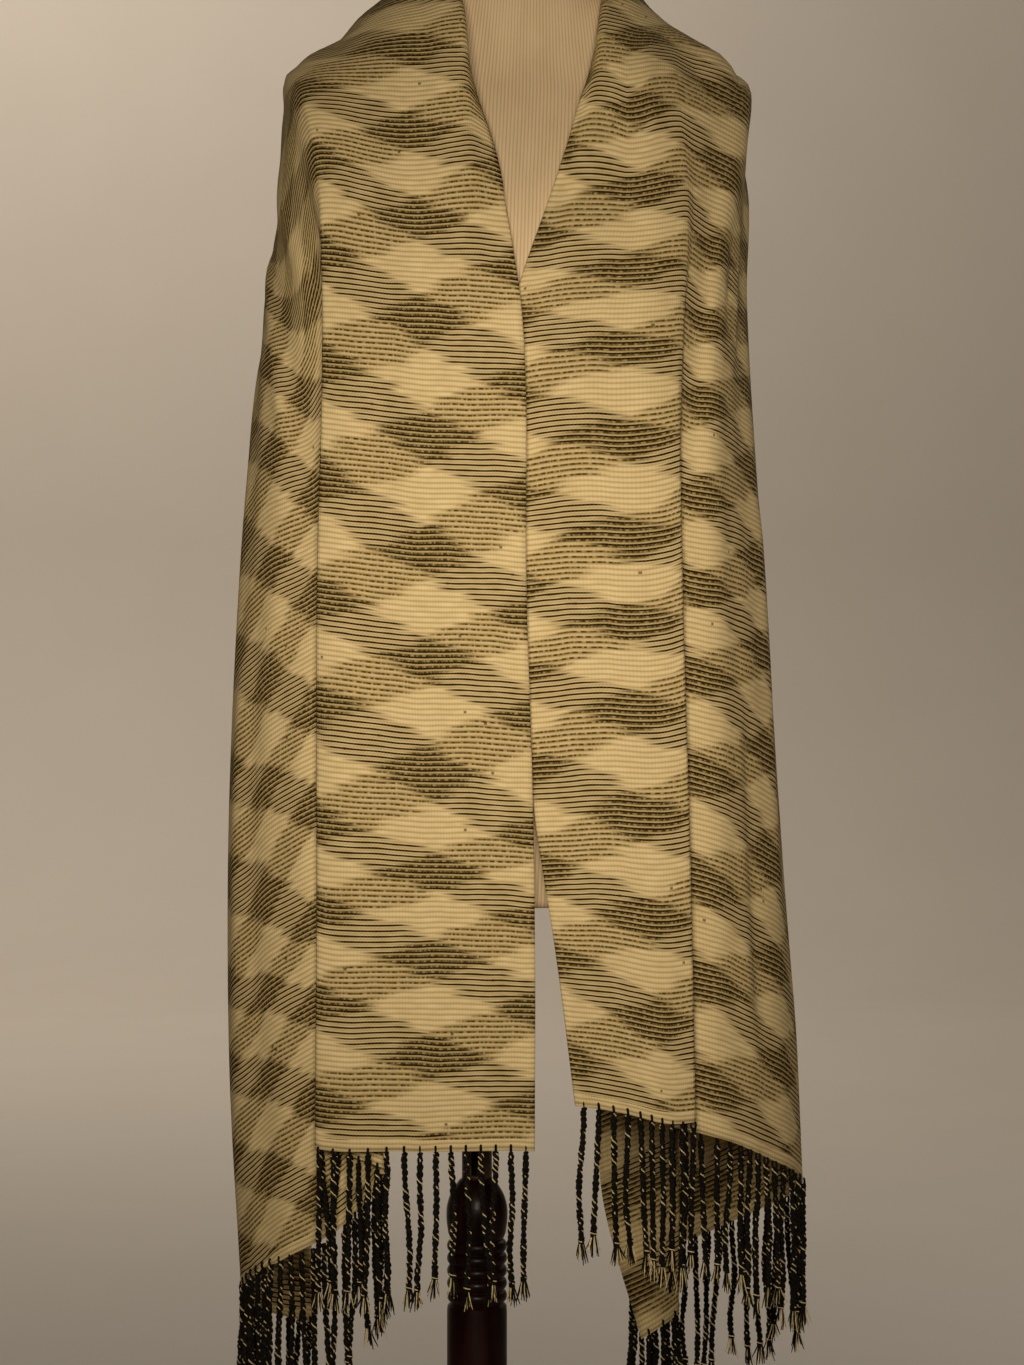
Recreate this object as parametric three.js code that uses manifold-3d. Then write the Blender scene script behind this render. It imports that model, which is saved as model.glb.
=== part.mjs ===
// Woven shawl with a twisted and knotted fringe, worn open over a limbless dress form
// on a turned wooden post. Millimetres, +Z up, the form faces -Y, "left" is at -X.
import * as THREE from 'three';
import { mergeVertices } from 'three/addons/utils/BufferGeometryUtils.js';
import Module from 'manifold-3d';

const wasm = await Module();
wasm.setup();

// ---------------------------------------------------------------- driving sizes
const CLOTH_WIDTH = 560;
const LEFT_LENGTH = 1095; // left hem to centre back
const RIGHT_LENGTH = 1055; // right hem to centre back
const CLOTH_WALL = 2;
const SEAM_GAP = 0.3;
// rows of the cloth run aslant at its folds, so a gap along the cloth is wider than the one across the seam
const HEM_GAP = 0.8;
const SHOULDER_GAP = 3.2;
const HEADER_DEPTH = 10; // plain woven band that the fringe is knotted into
const SHOULDER_CUT = 838; // length of each front panel, hem to shoulder line

const CORD_PITCH = 11.4;
const CORD_RADIUS = 1.9;
const KNOT_RADIUS = 3;
const TWIST_LENGTH = 98;
const TUFT_LENGTH = 15;

const LEAN = Math.tan((2 * Math.PI) / 180); // the form stands 2 degrees out of plumb
const LEAN_FROM = 500; // height at which its rod is pivoted in the post
const FORM_BOTTOM = 740;
const FORM_TOP = 1540;
const ROD_RADIUS = 7;
const ROD_BOTTOM = 432;
const ROD_TOP = 860;
const ROD_CLEARANCE = 0.5;

const POST_RADIUS = 24;
const POST_TOP = 517;
const POST_BORE_RADIUS = 10.5;
const POST_BORE_FLOOR = 430;
const COLLAR_RADIUS = 12;
const COLLAR_BORE = 10;
const COLLAR_HEIGHT = 52;
const COLLAR_SLOT = 9.5;
const BASE_RADIUS = 175;
const BASE_HEIGHT = 24;

// ---------------------------------------------------------------- dress form sizes
// half: half width, front and back: depths from the axis, square: superellipse power
const FORM_SECTIONS = [
  { z: 740, half: 148, front: 98, back: 103, square: 2.2 },
  { z: 765, half: 158, front: 104, back: 109, square: 2.2 },
  { z: 850, half: 165, front: 108, back: 112, square: 2.2 },
  { z: 950, half: 148, front: 100, back: 98, square: 2.2 },
  { z: 1040, half: 120, front: 88, back: 78, square: 2.2 },
  { z: 1120, half: 128, front: 102, back: 84, square: 2.2 },
  { z: 1200, half: 142, front: 124, back: 97, square: 2.2 },
  { z: 1260, half: 147, front: 117, back: 103, square: 2.3 },
  { z: 1320, half: 156, front: 88, back: 101, square: 2.4 },
  { z: 1360, half: 168, front: 66, back: 88, square: 2.4 },
  { z: 1390, half: 174, front: 51, back: 70, square: 2.3 },
  { z: 1408, half: 165, front: 45, back: 60, square: 2.2 },
  { z: 1428, half: 133, front: 43, back: 54, square: 2.1 },
  { z: 1448, half: 94, front: 44, back: 53, square: 2 },
  { z: 1468, half: 66, front: 47, back: 52, square: 2 },
  { z: 1492, half: 57, front: 50, back: 51, square: 2 },
  { z: 1540, half: 54, front: 52, back: 51, square: 2 },
];
const FORM_RINGS = [
  740, 765, 805, 850, 900, 950, 995, 1040, 1080, 1120, 1160, 1200, 1232, 1262, 1292, 1320, 1345,
  1366, 1382, 1394, 1404, 1414, 1426, 1438, 1450, 1468, 1492, 1540,
];
const FORM_SEGMENTS = 32;

// ---------------------------------------------------------------- drape of the shawl
// Each row is one warp thread that leads a fold, followed from the hem up over the
// shoulder. u: its distance from the inner selvedge, turn: radius where the cloth
// doubles back on it, under: 1 where the next layer goes beneath and -1 where it comes
// out on top, lift: distance that is kept off the form by the layers beneath.
const LEFT_FOLDS = [
  {
    u: 0, lift: 11,
    hem: [45, -130, 559], hip: [45, -132, 760], waist: [39, -134, 980],
    bust: [33, -136, 1215], chest: [10, -92, 1333], shoulder: [-24, -50, 1438],
    top: [-30, 0, 1472], blade: [2, 57, 1478],
  },
  {
    u: 30, turn: 4, under: -1, lift: 6,
    hem: [15, -131, 559], hip: [15, -133, 760], waist: [9, -135, 980],
    bust: [3, -136, 1216], chest: [-9, -104, 1340], shoulder: [-14, -62, 1446],
    top: [-39, 4, 1492], blade: [-4, 64, 1504],
  },
  {
    u: 95, lift: 4,
    hem: [-51, -124, 557], hip: [-51, -125, 760], waist: [-54, -126, 980],
    bust: [-57, -124, 1215], chest: [-68, -97, 1322], shoulder: [-78, -52, 1418],
    top: [-93, 6, 1447], blade: [-50, 68, 1452],
  },
  {
    u: 160, turn: 4, under: 1, lift: 15,
    hem: [-118, -110, 555], hip: [-117, -110, 760], waist: [-117, -110, 980],
    bust: [-115, -101, 1215], chest: [-122, -84, 1310], shoulder: [-140, -38, 1383],
    top: [-151, 8, 1400], blade: [-104, 68, 1392],
  },
  {
    u: 212, turn: 4, under: 1, lift: 8,
    hem: [-70, -102, 537], hip: [-66, -102, 745], waist: [-74, -100, 962],
    bust: [-96, -84, 1178], chest: [-130, -66, 1268], shoulder: [-151, -26, 1340],
    top: [-155, 18, 1362], blade: [-112, 78, 1350],
  },
  {
    u: 286, lift: 4,
    hem: [-113, -94, 480], hip: [-117, -94, 690], waist: [-118, -92, 905],
    bust: [-123, -76, 1120], chest: [-146, -44, 1215], shoulder: [-160, 2, 1280],
    top: [-152, 44, 1299], blade: [-100, 94, 1266],
  },
  {
    u: 356, lift: 4,
    hem: [-164, -60, 458], hip: [-170, -58, 668], waist: [-169, -56, 882],
    bust: [-164, -46, 1096], chest: [-168, -12, 1190], shoulder: [-166, 34, 1246],
    top: [-148, 70, 1258], blade: [-94, 106, 1218],
  },
  {
    u: 430, lift: 4,
    hem: [-187, -8, 429], hip: [-198, -6, 640], waist: [-195, -4, 855],
    bust: [-183, 4, 1070], chest: [-174, 34, 1162], shoulder: [-163, 70, 1212],
    top: [-142, 94, 1228], blade: [-84, 114, 1180],
  },
  {
    u: 496, lift: 4,
    hem: [-176, 48, 403], hip: [-186, 52, 616], waist: [-184, 54, 831],
    bust: [-174, 60, 1046], chest: [-166, 74, 1124], shoulder: [-157, 90, 1172],
    top: [-136, 103, 1190], blade: [-80, 117, 1138],
  },
  {
    u: 560, lift: 4,
    hem: [-135, 80, 385], hip: [-143, 84, 600], waist: [-148, 86, 815],
    bust: [-147, 88, 1030], chest: [-148, 94, 1090], shoulder: [-146, 99, 1132],
    top: [-132, 106, 1156], blade: [-84, 118, 1098],
  },
];

const RIGHT_FOLDS = [
  {
    u: 0, lift: 4,
    hem: [76, -128, 593], thigh: [61, -128, 710], hip: [47, -124, 800],
    waist: [33, -122, 980], bust: [28, -128, 1195], chest: [57, -108, 1285],
    shoulder: [97, -52, 1424], top: [96, 0, 1470], blade: [68, 55, 1478],
  },
  {
    u: 30, turn: 4, under: -1, lift: 4,
    hem: [106, -127, 588], thigh: [91, -127, 706], hip: [77, -126, 796],
    waist: [63, -125, 978], bust: [58, -128, 1198], chest: [84, -102, 1300],
    shoulder: [100, -60, 1436], top: [105, 3, 1492], blade: [75, 62, 1504],
  },
  {
    u: 112, turn: 3.5, under: 1, lift: 8,
    hem: [165, -114, 574], thigh: [163, -114, 690], hip: [161, -114, 780],
    waist: [156, -112, 968], bust: [156, -100, 1185], chest: [160, -82, 1290],
    shoulder: [151, -50, 1402], top: [160, 4, 1434], blade: [140, 64, 1432],
  },
  {
    u: 130, turn: 3.5, under: 1, lift: 5,
    hem: [153, -107, 568], thigh: [151, -107, 684], hip: [150, -107, 774],
    waist: [148, -105, 960], bust: [161, -92, 1172], chest: [172, -70, 1276],
    shoulder: [173, -42, 1386], top: [179, 4, 1418], blade: [158, 62, 1414],
  },
  {
    u: 168, lift: 4,
    hem: [188, -94, 558], thigh: [186, -94, 674], hip: [183, -94, 764],
    waist: [180, -92, 950], bust: [184, -76, 1160], chest: [193, -52, 1262],
    shoulder: [208, -22, 1350], top: [213, 6, 1396], blade: [186, 60, 1390],
  },
  {
    u: 226, lift: 4,
    hem: [228, -62, 538], thigh: [224, -62, 653], hip: [219, -60, 742],
    waist: [212, -57, 928], bust: [206, -42, 1137], chest: [208, -18, 1238],
    shoulder: [214, 12, 1332], top: [208, 44, 1370], blade: [168, 86, 1348],
  },
  {
    u: 284, lift: 4,
    hem: [260, -8, 513], thigh: [254, -8, 628], hip: [247, -8, 716],
    waist: [236, -4, 900], bust: [222, 4, 1108], chest: [216, 22, 1212],
    shoulder: [211, 46, 1308], top: [194, 74, 1334], blade: [140, 103, 1300],
  },
  {
    u: 385, lift: 8,
    hem: [207, 72, 466], thigh: [208, 76, 581], hip: [205, 80, 668],
    waist: [198, 86, 854], bust: [188, 94, 1061], chest: [180, 102, 1171],
    shoulder: [172, 104, 1236], top: [156, 112, 1264], blade: [104, 119, 1232],
  },
  {
    u: 430, lift: 12,
    hem: [168, 97, 446], thigh: [166, 101, 561], hip: [163, 104, 648],
    waist: [156, 110, 835], bust: [152, 114, 1042], chest: [158, 114, 1140],
    shoulder: [158, 111, 1204], top: [145, 115, 1236], blade: [100, 121, 1196],
  },
  {
    u: 472, turn: 4, under: 1, lift: 14,
    hem: [130, 94, 430], thigh: [127, 99, 546], hip: [124, 106, 640],
    waist: [117, 116, 820], bust: [124, 118, 1020], chest: [140, 115, 1118],
    shoulder: [146, 113, 1176], top: [136, 116, 1208], blade: [98, 122, 1164],
  },
  {
    u: 523, turn: 4, under: 1, lift: 8,
    hem: [163, 86, 394], thigh: [162, 88, 510], hip: [142, 80, 650],
    waist: [108, 97, 790], bust: [104, 116, 990], chest: [124, 112, 1086],
    shoulder: [136, 111, 1144], top: [126, 114, 1174], blade: [94, 121, 1124],
  },
  {
    u: 560, lift: 4,
    hem: [135, 78, 372], thigh: [103, 82, 488], hip: [96, 86, 620],
    waist: [66, 104, 760], bust: [82, 114, 960], chest: [106, 110, 1054],
    shoulder: [124, 108, 1112], top: [120, 112, 1144], blade: [92, 118, 1092],
  },
];

// where each warp crosses the centre of the back
const BACK_X = 34;
const BACK_LINE = [
  { u: 0, y: 63, z: 1474 },
  { u: 30, y: 71, z: 1506 },
  { u: 112, y: 84, z: 1432 },
  { u: 165, y: 94, z: 1381 },
  { u: 212, y: 104, z: 1332 },
  { u: 286, y: 111, z: 1254 },
  { u: 378, y: 117, z: 1164 },
  { u: 450, y: 120, z: 1100 },
  { u: 495, y: 120, z: 1064 },
  { u: 560, y: 118, z: 1012 },
];
const LEVELS = ['hem', 'thigh', 'hip', 'waist', 'bust', 'chest', 'shoulder', 'top', 'blade'];
const MIN_LIFT = 5.8;

// threads that the facets follow; both ends of the cloth have the same number of them
const LEFT_COLUMNS = [
  0, 14, 24, 30, 36, 60, 78, 96, 113, 130, 150, 154, 157, 160, 163, 166, 185, 205.7, 208.9, 212, 215.1,
  218.3, 240, 263, 286, 315, 344, 373, 402, 430, 463, 496, 528, 560,
];
const RIGHT_COLUMNS = [
  0, 14, 24, 30, 36, 60, 84, 106.5, 109, 112, 115, 117.5, 124.5, 130, 135.5, 152, 168, 184, 205,
  228, 256, 284, 318, 352, 385, 430, 466, 472, 478, 500, 517, 523, 529, 560,
];
const FRONT_ROW_STEP = 66;
const SHOULDER_ROW_STEP = 25;

// ---------------------------------------------------------------- small vector helpers
const add = (a, b, k = 1) => a.map((value, i) => value + k * b[i]);
const sub = (a, b) => a.map((value, i) => value - b[i]);
const dot = (a, b) => a.reduce((sum, value, i) => sum + value * b[i], 0);
const scale = (a, k) => a.map((value) => value * k);
const size = (a) => Math.sqrt(dot(a, a));
const unit = (a) => scale(a, 1 / Math.max(size(a), 1e-6));
const mix = (a, b, t) => a.map((value, i) => value + t * (b[i] - value));
const cross = (a, b) => [
  a[1] * b[2] - a[2] * b[1],
  a[2] * b[0] - a[0] * b[2],
  a[0] * b[1] - a[1] * b[0],
];
const clamp = (t) => Math.min(Math.max(t, 0), 1);
const ease = (t) => clamp(t) ** 2 * (3 - 2 * clamp(t));

// smooth curve through points at uneven knots
function curveAt(knots, points, t) {
  const last = knots.length - 1;
  let i = 0;
  while (i < last - 1 && t > knots[i + 1]) i += 1;
  const tangent = (k) => {
    if (k === 0) return scale(sub(points[1], points[0]), 1 / (knots[1] - knots[0]));
    if (k === last) {
      return scale(sub(points[last], points[last - 1]), 1 / (knots[last] - knots[last - 1]));
    }
    const before = knots[k] - knots[k - 1];
    const after = knots[k + 1] - knots[k];
    const into = scale(sub(points[k], points[k - 1]), after / (before * (before + after)));
    const out = scale(sub(points[k + 1], points[k]), before / (after * (before + after)));
    return add(into, out);
  };
  const span = knots[i + 1] - knots[i];
  const s = (t - knots[i]) / span;
  const ends = add(scale(points[i], 2 * s ** 3 - 3 * s ** 2 + 1), points[i + 1], 3 * s ** 2 - 2 * s ** 3);
  const slopes = add(
    scale(tangent(i), span * (s ** 3 - 2 * s ** 2 + s)),
    tangent(i + 1),
    span * (s ** 3 - s ** 2),
  );
  return add(ends, slopes);
}

// ---------------------------------------------------------------- skin of the form
const leanAt = (z) => (z - LEAN_FROM) * LEAN;
const SECTION_HEIGHTS = FORM_SECTIONS.map((row) => row.z);
const SECTION_SIZES = FORM_SECTIONS.map((row) => [row.half, row.front, row.back, row.square]);

function formSection(z) {
  const height = Math.min(Math.max(z, FORM_BOTTOM), FORM_TOP);
  const [half, front, back, square] = curveAt(SECTION_HEIGHTS, SECTION_SIZES, height);
  return { half, front, back, square };
}

function radialGap([x, y, z]) {
  const { half, front, back, square } = formSection(z);
  const across = Math.abs(x - leanAt(z));
  const depth = y < 0 ? front : back;
  const ratio = ((across / half) ** square + (Math.abs(y) / depth) ** square) ** (1 / square);
  const below = Math.max(FORM_BOTTOM - z, 0) * 0.3;
  return (1 - 1 / Math.max(ratio, 0.05)) * Math.hypot(across, y) + below;
}

function liftOff(point, lift) {
  let p = point;
  for (let pass = 0; pass < 4; pass += 1) {
    const here = radialGap(p);
    const slope = [0, 1, 2].map((axis) => {
      const probe = [...p];
      probe[axis] += 0.5;
      return (radialGap(probe) - here) / 0.5;
    });
    const steepness = Math.max(size(slope), 0.2);
    const distance = here / steepness;
    if (distance >= lift) return p;
    p = add(p, scale(slope, 1 / steepness), lift - distance);
  }
  return p;
}

// ---------------------------------------------------------------- the draped sheet
const BACK_KNOTS = BACK_LINE.map((row) => row.u);
const BACK_POINTS = BACK_LINE.map((row) => [BACK_X, row.y, row.z]);

// follows one leading thread from the hem to the centre back at true length
function threadPath(fold) {
  const points = LEVELS.filter((level) => fold[level]).map((level) => fold[level]);
  const middle = curveAt(BACK_KNOTS, BACK_POINTS, fold.u);
  const previous = points[points.length - 1];
  const beyond = [2 * BACK_X - previous[0], previous[1], previous[2]];
  const through = [...points, middle, beyond];
  const knots = [0];
  for (let i = 1; i < through.length; i += 1) {
    knots.push(knots[i - 1] + size(sub(through[i], through[i - 1])));
  }
  const end = knots[knots.length - 2];
  const steps = 110;
  const path = [];
  const lengths = [0];
  for (let i = 0; i <= steps; i += 1) {
    path.push(curveAt(knots, through, (end * i) / steps));
    if (i > 0) lengths.push(lengths[i - 1] + size(sub(path[i], path[i - 1])));
  }
  return { path, lengths };
}

function pointAlong({ path, lengths }, v, length) {
  const total = lengths[lengths.length - 1];
  const s = v + (total - length) * ease((v / length - 0.55) / 0.45);
  let i = 0;
  while (i < lengths.length - 2 && s > lengths[i + 1]) i += 1;
  return mix(path[i], path[i + 1], (s - lengths[i]) / (lengths[i + 1] - lengths[i]));
}

function makeHalf(folds, length) {
  return { length, folds: folds.map((fold) => ({ ...fold, ...threadPath(fold) })) };
}
const LEFT = makeHalf(LEFT_FOLDS, LEFT_LENGTH);
const RIGHT = makeHalf(RIGHT_FOLDS, RIGHT_LENGTH);

// one weft thread, v along the length from this half's hem
function weftThrough(half, v) {
  const places = half.folds.map((fold) => pointAlong(fold, v, half.length));
  const stacked = 1 - ease((v - 640) / 160);
  const knots = [];
  const points = [];
  half.folds.forEach((fold, i) => {
    const lift = MIN_LIFT + (fold.lift - MIN_LIFT) * stacked;
    if (!fold.turn) {
      knots.push(fold.u);
      points.push([...places[i], lift]);
      return;
    }
    const before = unit(sub(places[i], places[i - 1]));
    const after = unit(sub(places[i + 1], places[i]));
    const doubled = (1 - dot(before, after)) / 2;
    const along = unit(add(before, after));
    const out = unit(sub(before, after));
    const axis = [leanAt(places[i][2]) - places[i][0], -places[i][1], 0];
    const under = scale(unit(sub(axis, scale(out, dot(axis, out)))), fold.under);
    [-2, -1, 0, 1, 2].forEach((step) => {
      const angle = (step * Math.PI) / 4;
      const flat = add(places[i], along, fold.turn * angle);
      const tip = add(places[i], out, fold.turn * Math.cos(angle));
      const round = add(tip, under, fold.turn * Math.sin(angle));
      const depth = fold.under * fold.turn * Math.sin(angle) * doubled;
      knots.push(fold.u + fold.turn * angle);
      points.push([...mix(flat, round, doubled), lift - depth]);
    });
  });
  return { knots, points };
}

function clothPoint(weft, u) {
  const [x, y, z, lift] = curveAt(weft.knots, weft.points, u);
  return liftOff([x, y, z], lift);
}

// one row of mid-surface points with the cloth's outward direction at each
function clothRow(half, columns, v, flip = 1) {
  const reach = 3;
  const weft = weftThrough(half, v);
  const lower = weftThrough(half, Math.max(v - reach, 0));
  const upper = weftThrough(half, v + reach);
  return columns.map((u) => {
    const warp = sub(clothPoint(upper, u), clothPoint(lower, u));
    const across = sub(
      clothPoint(weft, Math.min(u + reach / 2, CLOTH_WIDTH)),
      clothPoint(weft, Math.max(u - reach / 2, 0)),
    );
    return { point: clothPoint(weft, u), normal: scale(unit(cross(warp, across)), flip) };
  });
}

// ---------------------------------------------------------------- meshes
function solidOf(positions, triangles) {
  const geometry = new THREE.BufferGeometry();
  geometry.setAttribute('position', new THREE.Float32BufferAttribute(positions.flat(), 3));
  geometry.setIndex(triangles.flat());
  return geometry;
}

function toManifold(geometry) {
  const plain = geometry.clone();
  plain.deleteAttribute('normal');
  plain.deleteAttribute('uv');
  const merged = mergeVertices(plain, 1e-4);
  return new wasm.Manifold(
    new wasm.Mesh({
      numProp: 3,
      vertProperties: new Float32Array(merged.attributes.position.array),
      triVerts: new Uint32Array(merged.index.array),
    }),
  );
}

function toGeometry(manifold) {
  const { vertProperties, triVerts, numProp } = manifold.getMesh();
  const geometry = new THREE.BufferGeometry();
  const positions = [];
  for (let i = 0; i < vertProperties.length; i += numProp) {
    positions.push(vertProperties[i], vertProperties[i + 1], vertProperties[i + 2]);
  }
  geometry.setAttribute('position', new THREE.Float32BufferAttribute(positions, 3));
  geometry.setIndex(Array.from(triVerts));
  return geometry;
}

// closed wall of the cloth's thickness on rows of mid-surface points
function wallOn(grid) {
  const rows = grid.length;
  const columns = grid[0].length;
  const positions = [1, -1].flatMap((side) =>
    grid.flat().map(({ point, normal }) => add(point, normal, (side * CLOTH_WALL) / 2)),
  );
  const at = (side, r, c) => (side * rows + r) * columns + c;
  const triangles = [];
  const quad = (a, b, c, d) => triangles.push([a, b, c], [a, c, d]);
  for (let r = 0; r < rows - 1; r += 1) {
    for (let c = 0; c < columns - 1; c += 1) {
      quad(at(0, r, c), at(0, r + 1, c), at(0, r + 1, c + 1), at(0, r, c + 1));
      quad(at(1, r, c), at(1, r, c + 1), at(1, r + 1, c + 1), at(1, r + 1, c));
    }
  }
  const last = columns - 1;
  const head = rows - 1;
  for (let c = 0; c < last; c += 1) {
    quad(at(0, 0, c), at(0, 0, c + 1), at(1, 0, c + 1), at(1, 0, c));
    quad(at(0, head, c), at(1, head, c), at(1, head, c + 1), at(0, head, c + 1));
  }
  for (let r = 0; r < head; r += 1) {
    quad(at(0, r + 1, 0), at(0, r, 0), at(1, r, 0), at(1, r + 1, 0));
    quad(at(0, r, last), at(0, r + 1, last), at(1, r + 1, last), at(1, r, last));
  }
  return solidOf(positions, triangles);
}

function spread(from, to, step) {
  const count = Math.ceil((to - from) / step);
  return Array.from({ length: count + 1 }, (_, i) => from + ((to - from) * i) / count);
}

// rows in order from the left hem over the back to the right hem
function rowsOf(half, columns, lengths) {
  if (half === LEFT) return lengths.map((v) => clothRow(half, columns, v));
  return lengths.map((v) => clothRow(half, columns, v, -1)).reverse();
}

function frontPanel(half, columns) {
  const bust = 600;
  const lengths = [
    ...spread(HEADER_DEPTH + HEM_GAP, bust, FRONT_ROW_STEP),
    ...spread(bust, SHOULDER_CUT, SHOULDER_ROW_STEP).slice(1),
  ];
  return rowsOf(half, columns, lengths);
}

// runs from the left shoulder cut to the right one, its columns easing from one set to the other
function backPanel() {
  const start = SHOULDER_CUT + SHOULDER_GAP;
  const left = spread(start, LEFT_LENGTH, SHOULDER_ROW_STEP);
  const right = spread(start, RIGHT_LENGTH, SHOULDER_ROW_STEP).reverse().slice(1);
  const rows = left.length + right.length - 1;
  const columnsAt = (row) => mix(LEFT_COLUMNS, RIGHT_COLUMNS, ease(row / rows));
  return [
    ...left.map((v, i) => clothRow(LEFT, columnsAt(i), v)),
    ...right.map((v, i) => clothRow(RIGHT, columnsAt(left.length + i), v, -1)),
  ];
}

// header band and its row of twisted cords, each ending in a knot and a short tuft
function cord(root, seed) {
  const sway = [1.4 * Math.sin(seed * 2.4), 0.8 * Math.cos(seed * 1.7)];
  const twist = TWIST_LENGTH + 7 * Math.sin(seed * 4.1);
  const rings = [
    { drop: 0, radius: CLOTH_WALL * 0.4 },
    { drop: HEADER_DEPTH / 2 + 1, radius: CORD_RADIUS },
    { drop: twist - 4, radius: CORD_RADIUS },
    { drop: twist, radius: KNOT_RADIUS },
    { drop: twist + TUFT_LENGTH, radius: KNOT_RADIUS },
  ];
  const sides = 3;
  const positions = [];
  rings.forEach(({ drop, radius }) => {
    const share = drop / twist;
    for (let k = 0; k < sides; k += 1) {
      const angle = (2 * Math.PI * k) / sides + seed;
      positions.push([
        root[0] + sway[0] * share + radius * Math.cos(angle),
        root[1] + sway[1] * share + radius * Math.sin(angle),
        root[2] - drop,
      ]);
    }
  });
  const triangles = [[0, 1, 2]];
  for (let r = 0; r < rings.length - 1; r += 1) {
    for (let k = 0; k < sides; k += 1) {
      const a = r * sides + k;
      const b = r * sides + ((k + 1) % sides);
      triangles.push([a, a + sides, b + sides], [a, b + sides, b]);
    }
  }
  const end = (rings.length - 1) * sides;
  triangles.push([end, end + 2, end + 1]);
  return toManifold(solidOf(positions, triangles));
}

function fringe(half, columns) {
  let solid = toManifold(wallOn(rowsOf(half, columns, [0, HEADER_DEPTH])));
  const points = clothRow(half, columns, HEADER_DEPTH / 2).map((place) => place.point);
  const count = Math.floor(CLOTH_WIDTH / CORD_PITCH);
  const margin = (CLOTH_WIDTH - (count - 1) * CORD_PITCH) / 2;
  for (let i = 0; i < count; i += 1) {
    const u = margin + i * CORD_PITCH;
    const next = columns.findIndex((column) => column > u);
    const share = (u - columns[next - 1]) / (columns[next] - columns[next - 1]);
    solid = solid.add(cord(mix(points[next - 1], points[next], share), i));
  }
  return toGeometry(solid);
}

function formSolid() {
  const positions = [];
  FORM_RINGS.forEach((z) => {
    const { half, front, back, square } = formSection(z);
    for (let k = 0; k < FORM_SEGMENTS; k += 1) {
      const angle = (2 * Math.PI * k) / FORM_SEGMENTS;
      const c = Math.cos(angle);
      const s = Math.sin(angle);
      const depth = s < 0 ? front : back;
      positions.push([
        leanAt(z) + half * Math.sign(c) * Math.abs(c) ** (2 / square),
        depth * Math.sign(s) * Math.abs(s) ** (2 / square),
        z,
      ]);
    }
  });
  const n = FORM_SEGMENTS;
  const top = FORM_RINGS.length - 1;
  const triangles = [];
  for (let r = 0; r < top; r += 1) {
    for (let k = 0; k < n; k += 1) {
      const a = r * n + k;
      const b = r * n + ((k + 1) % n);
      triangles.push([a, b, b + n], [a, b + n, a + n]);
    }
  }
  positions.push([leanAt(FORM_BOTTOM), 0, FORM_BOTTOM], [leanAt(FORM_TOP), 0, FORM_TOP]);
  const centre = positions.length - 2;
  for (let k = 0; k < n; k += 1) {
    triangles.push([(k + 1) % n, k, centre], [top * n + k, top * n + ((k + 1) % n), centre + 1]);
  }
  return toManifold(solidOf(positions, triangles));
}

// round bar that leans with the form, between two heights
function leaningBar(radius, from, to) {
  const bar = new THREE.CylinderGeometry(radius, radius, to - from, 24);
  bar.rotateX(Math.PI / 2);
  const place = new THREE.Matrix4().makeShear(0, 0, 0, 0, LEAN, 0);
  bar.translate(0, 0, (from + to) / 2 - LEAN_FROM);
  bar.applyMatrix4(place);
  bar.translate(0, 0, LEAN_FROM);
  return bar;
}

function uprightBar(radius, from, to, segments) {
  const bar = new THREE.CylinderGeometry(radius, radius, to - from, segments);
  bar.rotateX(Math.PI / 2);
  bar.translate(0, 0, (from + to) / 2);
  return bar;
}

function formWithSocket() {
  const socket = leaningBar(ROD_RADIUS + ROD_CLEARANCE, FORM_BOTTOM - 20, ROD_TOP + SEAM_GAP);
  return toGeometry(formSolid().subtract(toManifold(socket)));
}

function formRod() {
  return toGeometry(toManifold(leaningBar(ROD_RADIUS, ROD_BOTTOM, ROD_TOP)));
}

// brown tube that guides the rod, slotted at the front
function postCollar() {
  const foot = POST_TOP + SEAM_GAP;
  const head = foot + COLLAR_HEIGHT;
  const tube = toManifold(uprightBar(COLLAR_RADIUS, foot, head, 32));
  const bore = toManifold(uprightBar(COLLAR_BORE, foot - 1, head + 1, 32));
  const slot = new THREE.BoxGeometry(COLLAR_SLOT, COLLAR_RADIUS * 2, COLLAR_HEIGHT);
  slot.translate(0, -COLLAR_RADIUS, foot + 4 + COLLAR_HEIGHT / 2);
  return toGeometry(tube.subtract(bore).subtract(toManifold(slot)));
}

// turned outline from the foot of the post up
function postOutline() {
  const outline = [
    [POST_RADIUS, BASE_HEIGHT + SEAM_GAP],
    [POST_RADIUS, 417],
  ];
  const beadFoot = 419;
  const beadHeight = 10;
  for (let bead = 0; bead < 5; bead += 1) {
    const z = beadFoot + bead * beadHeight;
    outline.push([POST_RADIUS - 3, z], [POST_RADIUS, z + 3], [POST_RADIUS, z + 7]);
  }
  const neck = beadFoot + 5 * beadHeight;
  outline.push([POST_RADIUS - 3, neck], [POST_RADIUS - 1, neck + 5], [POST_RADIUS + 0.6, neck + 16]);
  outline.push([POST_RADIUS + 0.4, neck + 26], [POST_RADIUS - 2, neck + 35], [POST_RADIUS - 6, neck + 42]);
  outline.push([COLLAR_RADIUS + 1.5, POST_TOP]);
  return outline;
}

function standPost() {
  const outline = postOutline();
  const closed = [[0, outline[0][1]], ...outline, [0, POST_TOP]];
  const turned = new THREE.LatheGeometry(closed.map(([r, z]) => new THREE.Vector2(r, z)), 20);
  turned.rotateX(Math.PI / 2);
  const bore = uprightBar(POST_BORE_RADIUS, POST_BORE_FLOOR, POST_TOP + 5, 20);
  return toGeometry(toManifold(turned).subtract(toManifold(bore)));
}

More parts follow.
